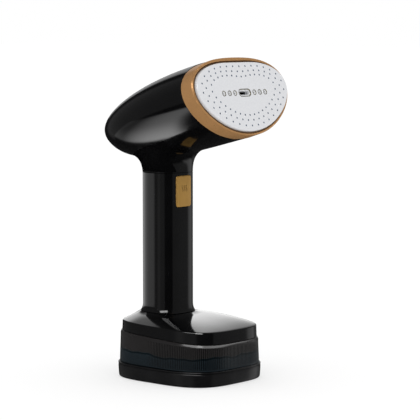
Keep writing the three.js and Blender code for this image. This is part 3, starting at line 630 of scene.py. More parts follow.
def half_outline(front, off, n_out=150, n_in=90, inset=0.0):
    """C-shaped section of one handle half: outer arc, then the inner arc back."""
    gap = 0.04
    yy = SPLIT - gap if front else SPLIT + gap

    def arc_of(o, count):
        a = np.linspace(-math.pi, math.pi, 200001)
        p = oval(HA + o, HB + o, HN, 0, HY, a)
        keep = p[:, 1] <= yy if front else p[:, 1] >= yy
        if front:
            sel = a[keep]
            lo, hi = sel.min(), sel.max()
        else:
            b = np.where(a < -math.pi / 2, a + 2 * math.pi, a)
            sel = b[keep]
            lo, hi = sel.min(), sel.max()
        return oval(HA + o, HB + o, HN, 0, HY, np.linspace(lo, hi, count))

    return np.concatenate([arc_of(off - inset, n_out), arc_of(-2.2, n_in)[::-1]])


def handle_half(name, front):
    def bottom(y):
        return foot_z(y) + 0.25

    rows = [(0.3 - FLARE, lambda y: bottom(y)), (0.08 - FLARE, lambda y: bottom(y) + 0.08), (-FLARE, lambda y: bottom(y) + 0.28)]
    rows += [(-FLARE * k * k * (0.35 + 0.65 * k), lambda y, k=k: bottom(y) + FLARE_H * (1 - k)) for k in np.linspace(0.93, 0.0, 15)]
    rows += [(0.0, z) for z in np.linspace(63, 162, 11)]
    rows += [(0.0, HTOP - 0.42), (0.07, HTOP - 0.2), (0.25, HTOP - 0.1)]
    v, f = skin([lift(half_outline(front, 0.0, inset=i), z) for i, z in rows])
    return make(name, v, f, 30)


def handle_field(p):
    x, y = p[:, 0] / HA, (p[:, 1] - HY) / HB
    g = np.stack([np.sign(x) * np.abs(x) ** (HN - 1) / HA, np.sign(y) * np.abs(y) ** (HN - 1) / HB, np.zeros(len(p))], axis=1)
    g /= np.linalg.norm(g, axis=1)[:, None] + 1e-12
    return g, (np.abs(handle_form(p)) < 0.003) & (p[:, 2] < HTOP - 0.3) & (p[:, 2] > 61.5)


def prism_y(outline, y0, y1, cz, name):
    rings = [np.column_stack([outline[:, 0], np.full(len(outline), y), outline[:, 1] + cz]) for y in (y0, y1)]
    v, f = skin(rings)
    return make(name, v, f)


rear = handle_half("handle_back_half", False)
v, f = turned([(0, 36), (5.0, 36), (5.0, 46), (0, 46)], (0, 0, 70), "y", 48)
boolean(rear, make("cut_inlet", v, f))
set_normals(rear, handle_field, 25)
dress(rear, GLOSS, "steamer", "gloss_black", "handle_rear")

front = handle_half("handle_front_half", True)
boolean(front, prism_y(rounded(TRIG_W + 0.5, TRIG_H + 0.5, 2.3, 10), -2.0, 12.0, TRIG_Z, "cut_trigger"))
set_normals(front, handle_field, 25)
dress(front, GLOSS, "steamer", "gloss_black", "handle_front")


# ------------------------------------------------------------------ trigger
def handle_y(x):
    return HY - HB * (1 - np.abs(np.asarray(x) / HA) ** HN) ** (1 / HN)


def pressed_face(name, w, h, r, face_y, cz, back, edge=0.9, dish=0.0):
    """A key cap: rounded outline, rolled edge, face that follows the wall it sits in."""
    rings = []
    for y_off, inset in [(back, 0.0)] + [(edge - edge * math.sin(a), edge - edge * math.cos(a)) for a in np.radians(np.linspace(0, 90, 7))]:
        o = rounded(w - 2 * inset, h - 2 * inset, max(r - inset, 0.5), 10)
        y = np.full(len(o), y_off) if y_off == back else face_y(o[:, 0], o[:, 1]) + y_off
        rings.append(np.column_stack([o[:, 0], y, o[:, 1] + cz]))
    base = rounded(w - 2 * edge, h - 2 * edge, max(r - edge, 0.5), 10)
    for k in (0.93, 0.85, 0.75, 0.62, 0.48, 0.34, 0.2, 0.08):
        o = base * k
        rings.append(np.column_stack([o[:, 0], face_y(o[:, 0], o[:, 1]) + dish * (1 - k), o[:, 1] + cz]))
    return skin(rings)


v, f = pressed_face("trigger", TRIG_W, TRIG_H, 2.2, lambda x, z: handle_y(x) - 0.8, TRIG_Z, 8.6, 0.8, 0.0)
key = make("trigger_key", v, f, 40)
dress(key, TRIGGER, "trigger", "trigger_gold", "trigger")


def wisp(name, x0, z0, height, sway, radius):
    """One raised wavy line of the steam sign."""
    pts = []
    for t in np.linspace(0, 1, 25):
        x = x0 + sway * math.sin(2 * math.pi * t)
        pts.append((x, float(handle_y(x)) - 0.8, z0 + height * t))
    rings = []
    for i, p in enumerate(pts):
        d = np.array(pts[min(i + 1, 24)]) - np.array(pts[max(i - 1, 0)])
        d /= np.linalg.norm(d)
        side = np.cross(d, [0, 1, 0])
        side /= np.linalg.norm(side)
        k = radius * math.sqrt(max(0.05, 1 - abs(2 * i / 24 - 1) ** 6))
        rings.append([np.array(p) + k * (math.cos(a) * side + 0.5 * math.sin(a) * np.array([0, 1, 0])) for a in np.linspace(0, 2 * math.pi, 10, endpoint=False)])
    return skin(rings)


wv, wf = [], []
for x0 in (-2.4, 0.0, 2.4):
    v, f = wisp("w", x0, TRIG_Z - 0.5, 5.6, 0.55, 0.26)
    o = sum(len(q) for q in wv)
    wv.append(v)
    wf += [tuple(i + o for i in q) for q in f]
SIGN = moulded("trigger_sign_gold", (0.30, 0.175, 0.055), (0.24, 0.14, 0.045), (0.4, 0.5), 200.0, 1500.0, 0.00003, 0.3, metallic=1.0)
dress(make("trigger_steam_sign", np.concatenate(wv), wf, 60), SIGN, "trigger", "trigger_gold")

# ------------------------------------------------------------------ base cover
N = 320
CANG = even_angles(CA, CB, CN, N)[0]


def cover_rings(inset, z0):
    """Side wall, rolled rim, and the crown that rises to the handle's foot."""
    rows = []
    r = 1.25
    foot = oval(HA + FLARE - inset, HB + FLARE - inset, HN, 0, HY, CANG)
    side0 = oval(CA - inset, CB - inset, CN, 0, CY, CANG)
    side = oval(CA - 0.3 - inset, CB - 0.3 - inset, CN, 0, CY, CANG)
    # slope of the crown where it leaves the rim sets how far the rim rolls over
    run = np.hypot(*(foot - side).T)
    rise = foot_z(foot[:, 1]) - (rim_z(side[:, 1]) - 0.2)
    back_e = np.clip((CROWN_BACK - run) / 5, 0, 1)
    share = CROWN_SHARE + (1 - CROWN_SHARE) * back_e
    e = np.clip(np.maximum(back_e, (run - CROWN_SHORT) / (CROWN_LONG - CROWN_SHORT)), 0, 1)
    power = 1.1 + 1.1 * e * e * (3 - 2 * e)
    climb = np.arctan2(power * share * rise, np.maximum(run - 1.0, 0.6))
    turn = np.maximum(math.pi / 2 - climb, math.radians(12))
    back = 0.3 + r * (1 - np.cos(turn))
    unit = side0 - np.array([0, CY])
    unit = unit / np.linalg.norm(unit, axis=1)[:, None]
    start = side0 - unit * back[:, None]
    low0 = rim_z(start[:, 1]) - 0.2 - inset
    centre = low0 - r * np.sin(turn)
    if z0 is not None:
        rows.append(np.column_stack([side0 - unit * 0.25, z0(side0[:, 1])]))
        rows.append(np.column_stack([side0, z0(side0[:, 1]) + 0.25]))
    for k in (0.5, 0.85):
        zz = z0(side0[:, 1]) if z0 is not None else np.full(N, 34.0)
        rows.append(np.column_stack([side0 - unit * 0.3 * k, zz + (centre - zz) * k]))
    for k in np.linspace(0, 1, 8):
        a = turn * k
        rows.append(np.column_stack([side0 - unit * (0.3 + r * (1 - np.cos(a)))[:, None], centre + r * np.sin(a)]))
    for s in list(np.linspace(0.03, 0.3, 8)) + list(np.linspace(0.36, 0.80, 10)) + list(np.linspace(0.83, 1.0, 8)):
        p = start + (foot - start) * s
        low, high = rim_z(p[:, 1]) - 0.2, foot_z(p[:, 1])
        near = np.clip(1 - run * (1 - s) / CROWN_FILLET, 0, 1)
        rows.append(np.column_stack([p, low + (high - low) * (share * (1 - (1 - s) ** power) + (1 - share) * near * near) - inset]))
    return rows


outer = cover_rings(0.0, lambda y: seam_z(y) + 0.12)
inner = cover_rings(2.3, None)
inner = [np.column_stack([inner[0][:, :2], seam_z(inner[0][:, 1]) + 0.12])] + inner
inside = [lift(oval(HA - 2.6, HB - 2.6, HN, 0, HY, CANG), lambda y: foot_z(y)), lift(oval(HA - 2.6, HB - 2.6, HN, 0, HY, CANG), lambda y: foot_z(y) - 2.3)]
rings = outer + inside + inner[::-1]
v, f = skin(rings, close=True)
cover = make("base_cover_shell", v, f, 38)
boolean(cover, prism_y(rounded(BUT_W + 0.6, BUT_H + 0.6, 1.5, 8), 44.0, 60.0, BUT_Z, "cut_button"), sharp=38)
dress(cover, GLOSS, "steamer", "gloss_black", "base_cover")

# ------------------------------------------------------------------ water tank, water, bottom cap, pad
M, RIB = 1440, 0.2
TANG, TLEN = even_angles(TA1, TB1, TN, M)


def tank_oval(fr, off, ribs=0.0, angles=TANG):
    p = oval(TA0 + (TA1 - TA0) * fr + off, TB0 + (TB1 - TB0) * fr + off, TN, 0, TY, angles)
    if ribs:
        s = np.arange(len(angles)) / len(angles)
        count = round(TLEN / 1.7)
        wave = 0.5 - 0.5 * np.cos(2 * math.pi * count * s)
        fade = np.clip((9.0 - p[:, 1]) / 14.0, 0, 1)
        unit = p - np.array([0, TY])
        unit /= np.linalg.norm(unit, axis=1)[:, None]
        p = p - unit * (ribs * wave * fade)[:, None]
    return p


def tank_shell():
    rows = [lift(tank_oval(0, -5.6), 5.2), lift(tank_oval(0, -5.2), 5.6), lift(tank_oval(0, -5.2), 12.9), lift(tank_oval(0, -0.3), 12.9), lift(tank_oval(0, 0), 13.2)]
    rows += [lift(tank_oval(0.05, 0), 13.7), lift(tank_oval(0.07, 0, RIB), 14.3)]
    for k in np.linspace(0.12, 0.86, 6):
        rows.append(lift(tank_oval(k, 0, RIB), lambda y, k=k: 14.3 + (seam_z(y) - 3.0 - 14.3) * k))
    rows.append(lift(tank_oval(0.92, 0, RIB), lambda y: seam_z(y) - 2.7))
    rows.append(lift(tank_oval(0.93, 0, 0), lambda y: seam_z(y) - 2.3))
    rows.append(lift(tank_oval(0.94, -0.04), lambda y: seam_z(y) - 2.05))
    rows.append(lift(tank_oval(0.97, -0.75), lambda y: seam_z(y) - 0.35))
    rows.append(lift(tank_oval(1, -1.1), lambda y: seam_z(y) - 0.15))
    rows.append(lift(tank_oval(1, -2.0), lambda y: seam_z(y) - 0.15))
    rows.append(lift(tank_oval(1, -2.2), lambda y: seam_z(y) - 0.35))
    rows += [lift(tank_oval(0.6, -2.2), 27.0), lift(tank_oval(0.1, -2.2), 17.5), lift(tank_oval(0, -4.2), 15.6), lift(tank_oval(0, -7.4), 14.2), lift(tank_oval(0, -7.4), 8.8), lift(tank_oval(0, -8.6), 7.6)]
    return skin(rows)


W = 480
WANG, WLEN = even_angles(TA1 - 2.2, TB1 - 2.2, TN, W)


def water_level(p):
    """Height of the water where it meets the wall: shallow swells, higher to the back."""
    a = np.arctan2((p[:, 1] - TY) / TB1, p[:, 0] / TA1)
    side = np.interp(p[:, 1], [-53, -35, -24, -8, 3, 25, 53], [24.0, 22.9, 22.6, 22.4, 23.6, 24.0, 24.4])
    frontz = np.interp(p[:, 0], [-44, -30, -19, -13, -6, 5, 22, 44], [23.2, 23.9, 24.3, 24.6, 22.3, 24.1, 23.8, 24.3])
    blend = np.clip((-p[:, 1] - 40) / 9.0, 0, 1)
    z = side * (1 - blend) + frontz * blend
    return z + 0.40 * np.sin(11 * a) + 0.22 * np.sin(29 * a + 1.0)


v, f = tank_shell()
tank = make("tank_smoked_cup", v, f, 35)
at = np.empty(len(tank.data.vertices) * 3)
tank.data.vertices.foreach_get("co", at)
at = at.reshape(-1, 3) / MM
# above_water drives the wall's painted view of the water and its dark meniscus line
wet = tank.data.attributes.new("above_water", "FLOAT", "POINT")
wet.data.foreach_set("value", (at[:, 2] - water_level(at[:, :2])).astype(np.float32))
ang = np.mod(np.arctan2(at[:, 1] - TY, at[:, 0]), 2 * math.pi)
turns = np.interp(ang, np.append(TANG, 2 * math.pi), np.linspace(0, 1, M + 1))
deep = (0.5 - 0.5 * np.cos(2 * math.pi * round(TLEN / 1.7) * turns)) * np.clip((9.0 - at[:, 1]) / 14.0, 0, 1)
deep *= (at[:, 2] > 14.0) & (at[:, 2] < seam_z(at[:, 1]) - 2.6)
# rib_depth drives the painted shade in the rib grooves
rib = tank.data.attributes.new("rib_depth", "FLOAT", "POINT")
rib.data.foreach_set("value", np.where(at[:, 1] < 9.0, deep, 0.0).astype(np.float32))
dress(tank, SMOKED, "tank", "smoked_clear", "tank_body")

def tank_in(fr, off, z, ang=WANG):
    return lift(oval(TA0 + (TA1 - TA0) * fr + off, TB0 + (TB1 - TB0) * fr + off, TN, 0, TY, ang), z)


edge = oval(TA0 + (TA1 - TA0) * 0.45 - 2.45, TB0 + (TB1 - TB0) * 0.45 - 2.45, TN, 0, TY, WANG)
level = water_level(edge)
rows = [tank_in(0, -8.9, 7.95), tank_in(0, -7.75, 9.1), tank_in(0, -7.75, 14.2), tank_in(0, -4.5, 15.9), tank_in(0.1, -2.45, 17.8), tank_in(0.25, -2.45, 20.0)]
rows.append(np.column_stack([edge, level]))
for k in (0.985, 0.95, 0.88, 0.75, 0.55, 0.3, 0.1):
    p = edge * k
    rows.append(np.column_stack([p, 23.3 + (level - 23.3 - 0.25) * k**2.0 + (1 - k) * 0.35 * np.sin(p[:, 0] / 7.0) * np.cos(p[:, 1] / 9.0)]))
v, f = skin(rows)
dress(make("water_fill", v, f, 50), WATER, "tank", "smoked_clear")

# painted shade: a dark ring where the water climbs the wall, standing in for the meniscus's refraction shade
men = []
for da, dz in [(0.0, -0.22), (0.10, 0.0), (0.0, 0.22), (-0.5, 0.0)]:
    unit = edge - np.array([0, TY])
    unit /= np.linalg.norm(unit, axis=1)[:, None]
    men.append(np.column_stack([edge + unit * (0.02 + da), level + 0.28 + dz]))
MENISCUS_PAINTED_SHADE = moulded("water_edge_painted_shade", (0.004, 0.020, 0.026), (0.002, 0.010, 0.014), (0.12, 0.25), 60.0, 500.0, 0.00003, 0.2)
v, f = skin(men, close=True)
dress(make("water_edge", v, f, 60), MENISCUS_PAINTED_SHADE, "tank", "smoked_clear")


def cap_oval(off, count=N):
    return oval(KA + off, KB + off, KN, 0, KY, CANG)


def base_cap():
    prof = [(1.9, -40.0), (1.9, -10.9), (1.7, -10.7), (0.45, -10.7), (0.3, -10.5), (0.3, -1.6)]
    prof += [(1.3 - 1.0 * math.sin(a), -0.5 - 1.1 * (1 - math.cos(a))) for a in np.radians(np.linspace(90, 0, 8))[1:]]
    prof += [(2.2, -0.33), (4.0, -0.2), (6.4, -0.08), (8.5, 0.0), (10.55, 0.0), (10.8, -0.12), (10.9, -0.32), (10.95, -0.75), (11.4, -0.75), (11.45, -0.2), (11.55, 0.0), (11.75, 0.1), (12.2, 0.1), (12.45, 0.0), (12.6, -0.3), (12.6, -1.0)]
    rows = [lift(cap_oval(o), z) for z, o in prof]
    t = [(12.6, -4.75), (12.4, -4.9), (5.2, -4.9), (4.9, -5.2), (4.9, -40.0)]
    rows += [lift(oval(TA0 + o, TB0 + o, TN, 0, TY, CANG), z) for z, o in t]
    return skin(rows)


v, f = base_cap()
dress(make("base_cap_shell", v, f, 30), CAPMAT, "tank", "gloss_black", "base_cap")

rows = [(1.6, -11.2), (0.3, -11.2), (0.0, -11.6), (0.0, -15.0), (0.35, -15.3), (0.35, -20.0), (0.0, -20.3), (0.0, -24.0), (0.35, -24.3), (0.35, -36.0)]
v, f = skin([lift(cap_oval(o), z) for z, o in rows])
dress(make("base_grip_pad", v, f, 30), RUBBER, "tank", "black_rubber", "base_pad")

# ------------------------------------------------------------------ bezel ring, seal, plate
prof = [(15.0, 2.85, 1), (14.85, 3.05, 1), (14.6, 3.1, 1), (9.0, 3.1, 1), (4.3, 3.1, 1)]
prof += [(4.0 - 1.4 * math.sin(a), 1.95 + 1.15 * math.cos(a), 1) for a in np.radians(np.linspace(8, 90, 9))]
prof += [(2.62, 1.72, 0.5), (2.85, 1.5, 0), (3.3, 1.36, 0), (4.2, 1.3, 0), (12.6, 1.3, 0), (12.6, -3.6, 0), (15.0, -3.6, 0)]
v, f = skin([egg_ring(w, o, 320, LIP_RISE + (RING_RISE - LIP_RISE) * k) for w, o, k in prof], close=True)
dress(make("bezel_ring_gold", v, f, 28), GOLD, "steamer", "satin_gold", "bezel_ring")

prof = [(2.9, 0.35), (2.9, 0.95), (7.4, 1.0), (7.4, -4.0), (5.0, -4.0), (5.0, 0.3), (3.6, 0.3)]
v, f = skin([egg_ring(w, o, 200) for w, o in prof], close=True)
# painted reflection: the seal is coloured tan-brown to stand for the gold ring's dark reflection seen in the gap to the
# plate
SEAL_PAINTED_REFLECTION = moulded("seal_painted_ring_reflection", (0.185, 0.100, 0.044), (0.145, 0.078, 0.034), (0.4, 0.55), 120.0, 1400.0, 0.00004, 0.35)
dress(make("plate_seal_rubber", v, f, 28), SEAL_PAINTED_REFLECTION, "steamer", "black_rubber", "plate_seal")

prof = [(0.0, -1.35)] + [(1.35 - 1.35 * math.sin(a), -1.35 + 1.35 * math.cos(a)) for a in np.radians(np.linspace(80, 0, 8))] + [(4.55, 0.0), (4.7, -0.15)]
v, f = skin([egg_ring(w, o, 256) for w, o in prof])
plate = make("steam_plate_face", v, f, 30)
NOZZLES = [s * u for u in (12.0, 18.6, 25.4) for s in (-1, 1)]


def spaced(w, t, b, count, phase):
    a = np.linspace(0, 2 * math.pi, 4001) + math.pi / 2
    p = egg(0, 0, w, t, b, a)
    d = np.concatenate([[0], np.cumsum(np.hypot(*np.diff(p, axis=0).T))])
    t0 = (np.arange(count) + phase) / count * d[-1]
    return np.stack([np.interp(t0, d, p[:, 0]), np.interp(t0, d, p[:, 1])], axis=1)


def pit(u, v0, prof, count):
    rings = []
    for w, r in prof:
        a = np.linspace(0, 2 * math.pi, count, endpoint=False)
        rings.append(from_head(u + r * np.cos(a), v0 + r * np.sin(a), np.full(count, float(w))))
    return skin(rings)


def stadium(long, wide, seg=12):
    h, r = (long - wide) / 2, wide / 2
    a = np.radians(np.linspace(-90, 90, seg))
    return np.concatenate([np.stack([h + r * np.cos(a), r * np.sin(a)], 1), np.stack([-h - r * np.cos(a), -r * np.sin(a)], 1)])


cv, cf = [], []


def gather(vf):
    o = sum(len(q) for q in cv)
    cv.append(vf[0])
    cf.extend(tuple(i + o for i in q) for q in vf[1])


for ring in (spaced(50.0, 17.7, 31.1, 32, 0), spaced(45.3, 13.5, 26.6, 32, 0.5), spaced(39.2, 9.2, 22.4, 32, 0)):
    for u, v0 in ring:
        gather(pit(u, v0, [(-0.6, 0.80), (0.0, 0.78), (0.12, 0.70), (0.5, 0.55), (0.72, 0.2)], 14))
for u in NOZZLES:
    gather(pit(u, 0.0, [(-0.6, 2.42), (-0.02, 2.40), (0.25, 2.25), (0.7, 0.8), (0.8, 0.62), (6.0, 0.62)], 32))
gather(skin([from_head(*stadium(long, wide).T, np.full(24, w)) for long, wide, w in ((15.9, 7.1, -0.6), (15.4, 6.6, 0.0), (14.7, 5.9, 0.75), (11.8, 3.2, 0.8), (11.4, 2.9, 1.1), (11.4, 2.9, 6.0))]))
holes = make("cut_plate", np.concatenate(cv), cf)
boolean(plate, holes, sharp=24)
dress(plate, PLATE, "steamer", "plate_ceramic", "steam_plate")

# painted shade: the dimple faces get a darker blue-grey, standing in for the shade in the pits
DIMPLE_PAINTED_SHADE = moulded("plate_dimple_painted_shade", srgb(120, 132, 150), srgb(104, 116, 134), (0.35, 0.5), 300.0, 1500.0, 0.00003, 0.2)
plate.data.materials.append(DIMPLE_PAINTED_SHADE)
DIMPLES = np.concatenate([spaced(50.0, 17.7, 31.1, 32, 0), spaced(45.3, 13.5, 26.6, 32, 0.5), spaced(39.2, 9.2, 22.4, 32, 0)])
# faces inside each dimple get the painted-shade material
for poly in plate.data.polygons:
    x, y, z = np.array(poly.center[:]) / MM - np.array([0, SLOT[1], SLOT[2]])
    pu, pv, pw = x, y * ST + z * CT, y * CT - z * ST
    if 0.02 < pw < 0.9 and np.hypot(DIMPLES[:, 0] - pu, DIMPLES[:, 1] - pv).min() < 0.85:
        poly.material_index = 1

# darker bushings inside the nozzles and the rim of the slot
bv, bf = [], []


def gather2(vf):
    o = sum(len(q) for q in bv)
    bv.append(vf[0])
    bf.extend(tuple(i + o for i in q) for q in vf[1])


def ring_of(outline_at, prof):
    return skin([outline_at(w, o) for w, o in prof], close=True)


for u in NOZZLES:
    a = np.linspace(0, 2 * math.pi, 32, endpoint=False)
    gather2(ring_of(lambda w, r, u=u: from_head(u + r * np.cos(a), r * np.sin(a), np.full(32, w)), [(0.30, 2.17), (0.0, 2.14), (0.0, 1.86), (0.34, 1.78), (0.42, 1.86)]))


def slot_ring(w, wide):
    q = stadium(8.8 + wide, wide, 14)
    return from_head(q[:, 0], q[:, 1], np.full(len(q), w))


gather2(ring_of(slot_ring, [(0.66, 5.86), (0.0, 6.1), (0.0, 5.5), (0.66, 5.2)]))
BUSH = moulded("nozzle_bushing_metal", (0.40, 0.36, 0.24), (0.26, 0.23, 0.14), (0.25, 0.4), 500.0, 2500.0, 0.00003, 0.3, metallic=0.9)
dress(make("nozzle_bushings", np.concatenate(bv), bf, 35), BUSH, "steamer", "steel")

# ------------------------------------------------------------------ release button and cord inlet at the back
def button_face(x, z):
    return np.full(len(x), 52.4) - 0.0009 * np.asarray(x) ** 2 * 3


rings = []
for y_off, inset in [(46.6, 0.0), (51.6, 0.0)] + [(51.6 + 0.8 * math.sin(a), 0.8 - 0.8 * math.cos(a)) for a in np.radians(np.linspace(15, 90, 6))]:
    o = rounded(BUT_W - 2 * inset, BUT_H - 2 * inset, max(1.2 - inset, 0.35), 8)
    rings.append(np.column_stack([o[:, 0], np.full(len(o), y_off), o[:, 1] + BUT_Z]))
base = rounded(BUT_W - 1.6, BUT_H - 1.6, 0.4, 8)
for k in (0.9, 0.7, 0.5, 0.3, 0.1):
    rings.append(np.column_stack([base[:, 0] * k, np.full(len(base), 52.4 - 0.35 * (1 - k)), base[:, 1] * k + BUT_Z]))
v, f = skin(rings)
dress(make("release_key", v, f, 35), DARK, "release", "dark_plastic", "release_button")
gv, gf = [], []
for x in (-5.0, -2.5, 0.0, 2.5, 5.0):
    rr = [np.array([[x + dx * k, 52.28 + h, BUT_Z + dz * k] for dx, dz in rounded(0.8, 2.4, 0.38, 4)]) for k, h in ((1.0, -0.5), (1.0, 0.0), (0.8, 0.09), (0.3, 0.12))]
    q = skin(rr)
    o = sum(len(t) for t in gv)
    gv.append(q[0])
    gf += [tuple(i + o for i in t) for t in q[1]]
dress(make("release_key_ridges", np.concatenate(gv), gf, 40), DARK, "release", "dark_plastic")

prof = [(3.3, 36.4), (6.8, 36.4), (7.0, 36.6), (7.0, 37.8), (6.8, 38.0), (4.7, 38.0), (4.7, 41.0), (6.35, 41.0), (6.6, 41.25), (6.55, 42.3), (6.3, 43.7), (6.0, 44.25), (5.5, 44.4), (4.2, 44.4), (3.7, 44.2), (3.3, 43.6)]
count = 56
a = np.linspace(0, 2 * math.pi, count, endpoint=False)
v, f = skin([np.stack([r * np.cos(a), np.full(count, y), 70 + r * np.sin(a)], 1) for r, y in prof], close=True)
dress(make("cord_inlet_bush", v, f, 35), RUBBER, "steamer", "black_rubber", "cord_inlet")

# ------------------------------------------------------------------ inner parts keep their solids
LOOKS = {
    "steam_chamber": CAST, "chamber_cover": CAST, "thermostat": CAST, "chamber_gasket": RUBBER, "heating_element": STEEL,
    "thermal_fuse": WHITE, "pressure_hose": HOSE, "suction_hose": HOSE, "suction_tube": HOSE, "suction_filter": WHITE,
    "heater_lead_left": LEAD, "heater_lead_right": LEAD, "pump_body": WHITE, "pump_end_cap": WHITE, "pump_coil": COPPER,
    "pump_mount_lower": RUBBER, "pump_mount_upper": RUBBER, "pump_plunger": STEEL, "plunger_spring": STEEL, "trigger_spring": STEEL,
    "release_spring": STEEL, "switch_carrier": DARK, "circuit_board": BOARD, "microswitch": DARK, "tank_ceiling": DARK,
    "tank_seal": RUBBER, "neck_screw_1": STEEL, "neck_screw_2": STEEL, "foot_screw_1": STEEL, "foot_screw_2": STEEL,
    "ceiling_screw_1": STEEL, "ceiling_screw_2": STEEL, "ceiling_screw_3": STEEL, "ceiling_screw_4": STEEL,
}
for name, mat in LOOKS.items():
    for s in NODES[name].material_slots:
        s.material = mat


# ------------------------------------------------------------------ floor, world and lights
def plain(name):
    m = bpy.data.materials.new(name)
    m.use_nodes = True
    nt = m.node_tree
    for n in list(nt.nodes):
        nt.nodes.remove(n)
    return m, nt, nt.nodes.new("ShaderNodeOutputMaterial")


def floor():
    me = bpy.data.meshes.new("floor")
    s = 14.0
    me.from_pydata([(-s, -s, 0), (s, -s, 0), (s, s, 0), (-s, s, 0)], [], [(0, 1, 2, 3)])
    ob = bpy.data.objects.new("floor", me)
    bpy.context.scene.collection.objects.link(ob)
    m, nt, out = plain("pale_floor")
    d = nt.nodes.new("ShaderNodeBsdfDiffuse")
    d.inputs["Color"].default_value = (0.50, 0.50, 0.50, 1)
    e = nt.nodes.new("ShaderNodeEmission")
    e.inputs["Color"].default_value = (1, 1, 1, 1)
    e.inputs["Strength"].default_value = 0.54
    both = nt.nodes.new("ShaderNodeAddShader")
    link(nt, d.outputs[0], both.inputs[0])
    link(nt, e.outputs[0], both.inputs[1])
    link(nt, both.outputs[0], out.inputs["Surface"])
    me.materials.append(m)
    ob.visible_glossy = False


floor()

world = bpy.data.worlds.new("studio")
bpy.context.scene.world = world
world.use_nodes = True
nt = world.node_tree
for n in list(nt.nodes):
    nt.nodes.remove(n)
out = nt.nodes.new("ShaderNodeOutputWorld")
tc = nt.nodes.new("ShaderNodeTexCoord")
axes = nt.nodes.new("ShaderNodeSeparateXYZ")
link(nt, tc.outputs["Generated"], axes.inputs[0])


def math_node(op, *args):
    m = nt.nodes.new("ShaderNodeMath")
    m.operation = op
    for i, q in enumerate(args):
        if isinstance(q, (int, float)):
            m.inputs[i].default_value = q
        else:
            link(nt, q, m.inputs[i])
    return m.outputs[0]


# Compass bearing (0 along +Y, 90 along +X) and height of a direction, both in degrees.
BEARING = math_node("MULTIPLY", math_node("ARCTAN2", axes.outputs[0], axes.outputs[1]), 57.29578)
HEIGHT = math_node("MULTIPLY", math_node("ARCSINE", axes.outputs[2]), 57.29578)


def step(value, a, b, lo=0.0, hi=1.0):
    r = nt.nodes.new("ShaderNodeMapRange")
    r.interpolation_type = "SMOOTHSTEP"
    r.inputs["From Min"].default_value, r.inputs["From Max"].default_value = a, b
    r.inputs["To Min"].default_value, r.inputs["To Max"].default_value = lo, hi
    link(nt, value, r.inputs["Value"])
    return r.outputs["Result"]


def window(strength, az, el, az_soft=(4, 4), el_soft=(4, 4), fall=None):
    """A soft-edged patch of the studio's surroundings; fall = (height, height, share, share) shades it with height."""
    a = math_node("MULTIPLY", step(BEARING, az[0] - az_soft[0], az[0] + az_soft[0]), step(BEARING, az[1] - az_soft[1], az[1] + az_soft[1], 1.0, 0.0))
    b = math_node("MULTIPLY", step(HEIGHT, el[0] - el_soft[0], el[0] + el_soft[0]), step(HEIGHT, el[1] - el_soft[1], el[1] + el_soft[1], 1.0, 0.0))
    out = math_node("MULTIPLY", math_node("MULTIPLY", a, b), strength)
    return math_node("MULTIPLY", out, step(HEIGHT, *fall)) if fall else out


PATCHES = [
    (0.13, (-75, 14), (-29, 90), (10, 6), (3, 4), None),                        # dim room to the left and behind
    (0.62, (31, 75), (3, 60), (3, 8), (2, 8), None),                            # lit wall behind on the right
    (0.17, (75, 180), (-30, 70), (10, 4), (6, 10), None),                       # room in front on the right
    (0.55, (98, 123), (-35, 12), (6, 4), (6, 8), None),
    (9.0, (-138, -72), (27, 46), (4, 4), (3, 3), None),                         # softbox, front left, high
    (0.20, (-112, -62), (-30, 25), (8, 8), (6, 4), None),
]
total = 0.02
for patch in PATCHES:
    total = math_node("ADD", window(*patch), total)
glossy = nt.nodes.new("ShaderNodeBackground")
link(nt, total, glossy.inputs["Strength"])
plainbg = nt.nodes.new("ShaderNodeBackground")
plainbg.inputs["Color"].default_value = (1, 1, 1, 1)
plainbg.inputs["Strength"].default_value = 1.0
lp = nt.nodes.new("ShaderNodeLightPath")
mix = nt.nodes.new("ShaderNodeMixShader")
link(nt, lp.outputs["Is Glossy Ray"], mix.inputs[0])
link(nt, plainbg.outputs[0], mix.inputs[1])
link(nt, glossy.outputs[0], mix.inputs[2])
link(nt, mix.outputs[0], out.inputs["Surface"])


def glow(name, points, faces, strength, receivers):
    """A softbox or bounce card: seen only in the gloss of the named pieces, as strong at each point as strength says."""
    me = bpy.data.meshes.new(name)
    me.from_pydata([tuple(q) for q in points], [], faces)
    ob = bpy.data.objects.new(name, me)
    bpy.context.scene.collection.objects.link(ob)
    me.attributes.new("glow", "FLOAT", "POINT").data.foreach_set("value", np.asarray(strength, np.float32))
    m, nt2, out2 = plain(name)
    g = nt2.nodes.new("ShaderNodeAttribute")
    g.attribute_name = "glow"
    e, clear, both = nt2.nodes.new("ShaderNodeEmission"), nt2.nodes.new("ShaderNodeBsdfTransparent"), nt2.nodes.new("ShaderNodeAddShader")
    link(nt2, g.outputs["Fac"], e.inputs["Strength"])
    link(nt2, e.outputs[0], both.inputs[0])
    link(nt2, clear.outputs[0], both.inputs[1])
    link(nt2, both.outputs[0], out2.inputs["Surface"])
    me.materials.append(m)
    ob.visible_camera = ob.visible_diffuse = ob.visible_shadow = ob.visible_transmission = ob.visible_volume_scatter = False
    lit = bpy.data.collections.new(name + "_lights")
    for r in receivers:
        lit.objects.link(bpy.data.objects[r])
    ob.light_linking.receiver_collection = lit


def smooth(x, a, b):
    t = np.clip((np.asarray(x, float) - a) / (b - a), 0, 1)
    return t * t * (3 - 2 * t)


def grid(nu, nv):
    return [(j * nu + i, j * nu + i + 1, (j + 1) * nu + i + 1, (j + 1) * nu + i) for j in range(nv - 1) for i in range(nu - 1)]


